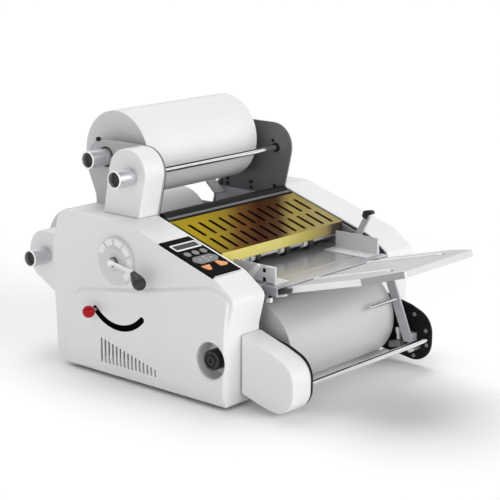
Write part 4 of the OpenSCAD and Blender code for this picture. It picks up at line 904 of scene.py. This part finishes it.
# --- Control panel ---
# A black membrane panel set on the sloped cover, with a printed light border, a small display in
# a white frame, three round keys, an eight-sided pad and two orange keys.
PANEL_W, PANEL_LEN, WRAP_U, KEY_GAP = 75.1, 141, 75, 0.35
KEY_U, KEY_V, KEY_R = {"menu": 60, "minus": 38.5, "plus": 17}, 56, 7.5
KEY_LOW, KEY_TOP = -4.5, 2.2
PAD = [(7.5, 78.5, 1.2), (16.5, 69.5, 1.2), (60.5, 69.5, 1.2), (69.5, 78.5, 1.2), (69.5, 85.5, 1.2),
       (60.5, 94.5, 1.2), (16.5, 94.5, 1.2), (7.5, 85.5, 1.2)]
RUN = [(47, 101, 2), (71, 101, 2), (65, 117, 2), (56, 117, 2)]
STOP = [(6, 110, 2), (21, 96, 2), (30, 97, 2), (30, 114, 2), (14, 115, 2)]


def on_slope(name, outline, low, high, soft=0.0, grow=0.0):
    """A flat piece of the panel between two heights, with its upper edge rounded."""
    rings = [(low, -grow), (high - soft, -grow)]
    if soft:
        rings += [(high - soft + soft * sin(a), soft - soft * cos(a)) for a in (0.5, 1.05, pi / 2)]
    return drawn(name, [[on_panel(*p, h) for p in rounded(outline, d, 5)] for h, d in rings])


face_edge = [(0, 0, 3), (PANEL_W, 0, 0.1), (PANEL_W, PANEL_LEN, 0.1), (0, PANEL_LEN, 3)]
panel = on_slope("panel_face", face_edge, 0, 1.2)
panel_up = on_panel(0, 0, 1) - on_panel(0, 0, 0)
holes = [on_slope("hole", outline, -2, 3, grow=KEY_GAP) for outline in (PAD, RUN, STOP)]
holes += [turned("hole", bar(-2, 3, KEY_R + KEY_GAP), on_panel(u, KEY_V, 0), panel_up, 48)
          for u in KEY_U.values()]
carve(panel, *holes)
panel_black = surface("panel_black", (13, 13, 14), 0.55, grain=700, tone=0.15, relief=0.01, shine=0.03)
fit(panel, panel_black, "frame", "panel_black", "control_panel")

panel_white = surface("panel_white", (232, 232, 230), 0.4, grain=600, tone=0.02, relief=0.01)
border = on_slope("panel_border", box(-0.2, -0.2, PANEL_W, PANEL_LEN + 0.2, 0.1), 0.5, 1.3)
carve(border, on_slope("inside", box(0.8, 0.8, 80, PANEL_LEN - 0.8, 0.1), 0, 3))
fit(border, panel_white, "frame", "panel_black")


def wrapped(name, first, last, low, high, ends):
    """A sheet on the cover's rounded edge, between two angles, two heights and two ends."""
    edge = arc((WRAP_U, -COVER_RIM), COVER_RIM + high, 90 - first, 90 - last, 8)
    edge += arc((WRAP_U, -COVER_RIM), COVER_RIM + low, 90 - last, 90 - first, 8)
    return drawn(name, [[on_panel(u, v, h) for u, h in edge] for v in ends])


# The membrane goes on over the rounded edge of the cover, where the border's outer line is.
fit(wrapped("panel_wrap", -4, 62, 0.05, 1.2, (0, PANEL_LEN)), panel_black, "frame", "panel_black")
fit(wrapped("panel_wrap_line", 60, 67, 0.1, 1.3, (-0.2, PANEL_LEN + 0.2)), panel_white, "frame",
    "panel_black")
bezel = on_slope("display_bezel", box(3.5, 17.5, 71.5, 40.5, 3), 1.1, 2.0, 0.4)
carve(bezel, on_slope("inside", box(7, 21.2, 68, 36.8, 1.2), 0, 3))
fit(bezel, panel_white, "frame", "panel_black")
fit(on_slope("display_glass", box(6.6, 20.8, 68.4, 37.2, 1.2), 0, 1.4, 0.2),
    surface("display_glass", (74, 75, 73), 0.25, stretch=(3, 1, 1), grain=60, tone=0.12, wander=0.03,
            relief=0.002, shine=0.06), "frame", "window_dark", "display_window")

key_grey = surface("key_grey", (126, 126, 126), 0.5, grain=700, tone=0.05, relief=0.02)
key_shape = [(KEY_LOW, 0), (KEY_LOW, KEY_R), (1.5, KEY_R), (2.0, KEY_R - 0.4), (KEY_TOP, KEY_R - 1.2),
             (KEY_TOP, KEY_R - 2.2), (1.9, KEY_R - 3.4), (1.8, 0)]
keys = {"menu": turned("menu_key_cap", key_shape, on_panel(KEY_U["menu"], KEY_V, 0), panel_up, 48)}
for name in ("minus", "plus"):
    shift = on_panel(KEY_U[name], 0, 0) - on_panel(KEY_U["menu"], 0, 0)
    keys[name] = copied(keys["menu"], name + "_key_cap", shift)
for name, cap in keys.items():
    fit(cap, key_grey, name + "_button", "key_grey", name + "_key")
pad_rubber = surface("pad_rubber", (118, 118, 119), 0.55, tone=0.08, relief=0.04)
fit(on_slope("pad_key_cap", PAD, KEY_LOW, KEY_TOP, 0.8), pad_rubber, "pad_button", "pad_black", "pad_key")
dots = [turned("pad_dot", [(2.0, 0), (2.0, 1.5), (2.35, 1.4), (2.35, 0)], on_panel(u, v, 0), panel_up, 20)
        for u, v in ((24, 82), (38.5, 75), (53, 82), (38.5, 89), (38.5, 82))]
fit(joined(dots), panel_white, "pad_button", "pad_black")
orange = surface("key_orange", (226, 150, 92), 0.45, grain=600, tone=0.05, relief=0.02)
for name, outline in (("run", RUN), ("stop", STOP)):
    fit(on_slope(name + "_key_cap", outline, KEY_LOW, KEY_TOP, 0.7), orange, name + "_button", "key_orange",
        name + "_key")


# --- Pressure dial and crank ---
# A white moulded dial with raised number fields is screwed to the left cover. The crank on its
# shaft has a bright bent arm and a black bulb-shaped grip.
DIAL_R, FIELD_OUT, FIELD_IN, FIELD_PITCH, FIELD_SPAN = 47, 44.5, 32.5, 36, 29
ARM_X, GRIP_X, CRANK_LEN = -292.5, -290.5, 56
CRANK_DROP, GRIP_LEAN, GRIP_DROP = radians(10), radians(24), radians(20)
dial_shape = [(0, 5.2), (0, DIAL_R - 0.6), (0.6, DIAL_R), (4.6, DIAL_R), (6.2, DIAL_R - 0.6),
              (6.9, DIAL_R - 1.8), (6.8, DIAL_R - 3), (6.6, DIAL_R - 15.5), (6.6, 28.2), (7.2, 27.4),
              (8, 26.4), (8, 19), (7.2, 18.2), (6.8, 17), (6.8, 12), (7.4, 11), (8, 10.4), (8, 5.2)]
dial = spun("dial_disc", dial_shape, -COVER_OUTER_X, DIAL_AXIS, 120)
fields = []
for i in range(3, 9):
    first = FIELD_PITCH * i - 90
    last = first + FIELD_SPAN
    edge = arc(DIAL_AXIS, FIELD_OUT, first, last, 8) + arc(DIAL_AXIS, FIELD_IN, last, first, 8)
    fields.append(slab("field", edge, -281, -284))
stud = spun("stud", bar(-1, 10.4, 4), -275.9, SLOT_AXIS, 32, 1)
# The disc is painted greyer than its raised fields: partly its own tone, partly painted shade around and between
# them.
fit(dial, surface("dial_grey", (208, 208, 208), 0.45, grain=600), "frame", "dial_white", "dial_plate")
fit(joined(fields), surface("dial_white", (232, 232, 231), 0.4, grain=600, tone=0.02), "frame",
    "dial_white", edge=0.5)
fit(stud, ground_steel, "frame", "steel_shaft", edge=0.3)
nut_shape = [(8.6, 5.1), (8.6, 10.6), (11.4, 10.6), (12, 9.8), (12, 5.1)]
fit(spun("crank_nut", nut_shape, -COVER_OUTER_X, DIAL_AXIS, 6),
    surface("nut_steel", (104, 104, 106), 0.4, 0.5, grain=200, tone=0.08, relief=0.02), "crank",
    "steel_shaft", edge=0.4)
arm_start = place(ARM_X, *DIAL_AXIS)
grip_start = place(GRIP_X, DIAL_AXIS[0] - CRANK_LEN * cos(CRANK_DROP),
                   DIAL_AXIS[1] - CRANK_LEN * sin(CRANK_DROP))
grip_dir = (-sin(GRIP_LEAN), -cos(GRIP_LEAN) * cos(GRIP_DROP), -cos(GRIP_LEAN) * sin(GRIP_DROP))
arm_len = (grip_start - arm_start).length * 1000
hub = [(-2.5, 0), (-2.5, 5), (12, 5), (12.4, 6.4), (20.6, 6.4), (21.6, 5.8), (22, 4.6), (22, 0)]
crank = spun("crank_bar", hub, -COVER_OUTER_X, DIAL_AXIS, 48)
arm_shape = [(0, 0), (0, 3.9), (arm_len, 3.3), (arm_len, 0)]
knuckle_shape = [(-4.5, 0), (-4.5, 3.2), (-3.2, 4.4), (4.5, 4.4), (4.5, 0)]
for part in (turned("arm", arm_shape, arm_start, grip_start - arm_start, 32),
             turned("knuckle", knuckle_shape, grip_start, grip_dir, 32)):
    carve(crank, part, how="UNION")
fit(crank, surface("crank_chrome", (232, 232, 234), 0.3, 0.6, grain=60, tone=0.04, relief=0.006), "crank",
    "chrome_rod", "crank_arm", edge=0.4)
bulb = [(4.6, 0), (4.6, 5.4), (5.2, 6.2), (7, 6.6), (8, 6.4), (9.2, 6.8), (16, 8.6), (25, 11.1), (33, 12.6),
        (38.5, 13), (42.5, 12.7), (46.4, 11.4), (49.8, 9), (52.3, 5.9), (53.6, 2.9), (54, 0)]
fit(turned("crank_bulb", bulb, grip_start, grip_dir, 64),
    surface("grip_black", (34, 34, 36), 0.5, grain=420, tone=0.2, relief=0.06), "crank", "grip_black",
    "crank_grip", angle=60)


# --- Anti-curl lever ---
# A flat steel lever behind the cover, whose pin reaches out through the curved slot and ends in
# a glossy red ball.
dress("curl_lever", ground_steel, 0.5)
BALL_R, BALL_X, BALL_SWING = 12, -300, 44
ball_shape = [(3 - BALL_R, 0), (3 - BALL_R, 4.2), (-9.9, 4.6), (-10.4, 5.4), *arc((0, 0), BALL_R, 150, 0, 20)]
ball_axis = arc(SLOT_AXIS, SLOT_R, -90, BALL_SWING - 90, 1)[1]
fit(spun("curl_knob_ball", ball_shape, BALL_X, ball_axis, 64),
    surface("ball_red", (168, 5, 18), 0.25, tone=0.05, wander=0.03, relief=0.008, shine=0.2), "curl",
    "ball_red", "curl_ball", angle=60)


# --- Nip lever ---
# A steel strip beside the right plate that opens the rollers, with a black moulded tip.
dress("nip_lever", surface("lever_steel", (200, 200, 203), 0.4, 0.3, stretch=(30, 30, 1), grain=30, tone=0.05,
                           relief=0.006), 0.6)
tip_edge = [(-146, 285, 1.5), (-150, 297, 3), (-168, 300, 3), (-173, 293, 2), (-160, 288, 3), (-158, 280, 1)]
fit(slab("nip_lever_tip", rounded(tip_edge, 0, 5), 171.6, 181.75),
    surface("tip_black", (34, 34, 36), 0.5, grain=700, tone=0.12), "nip", "grip_black", edge=0.8)


# --- Back of the machine ---
# A painted steel panel closes the back under the film exit, with the socket of the power lead.
dress("rear_panel", surface("rear_panel_paint", (206, 206, 208), 0.45, grain=700), 0.5)
dress("power_inlet", surface("inlet_black", (26, 26, 27), 0.42, grain=700, tone=0.12, relief=0.02), 0.6)
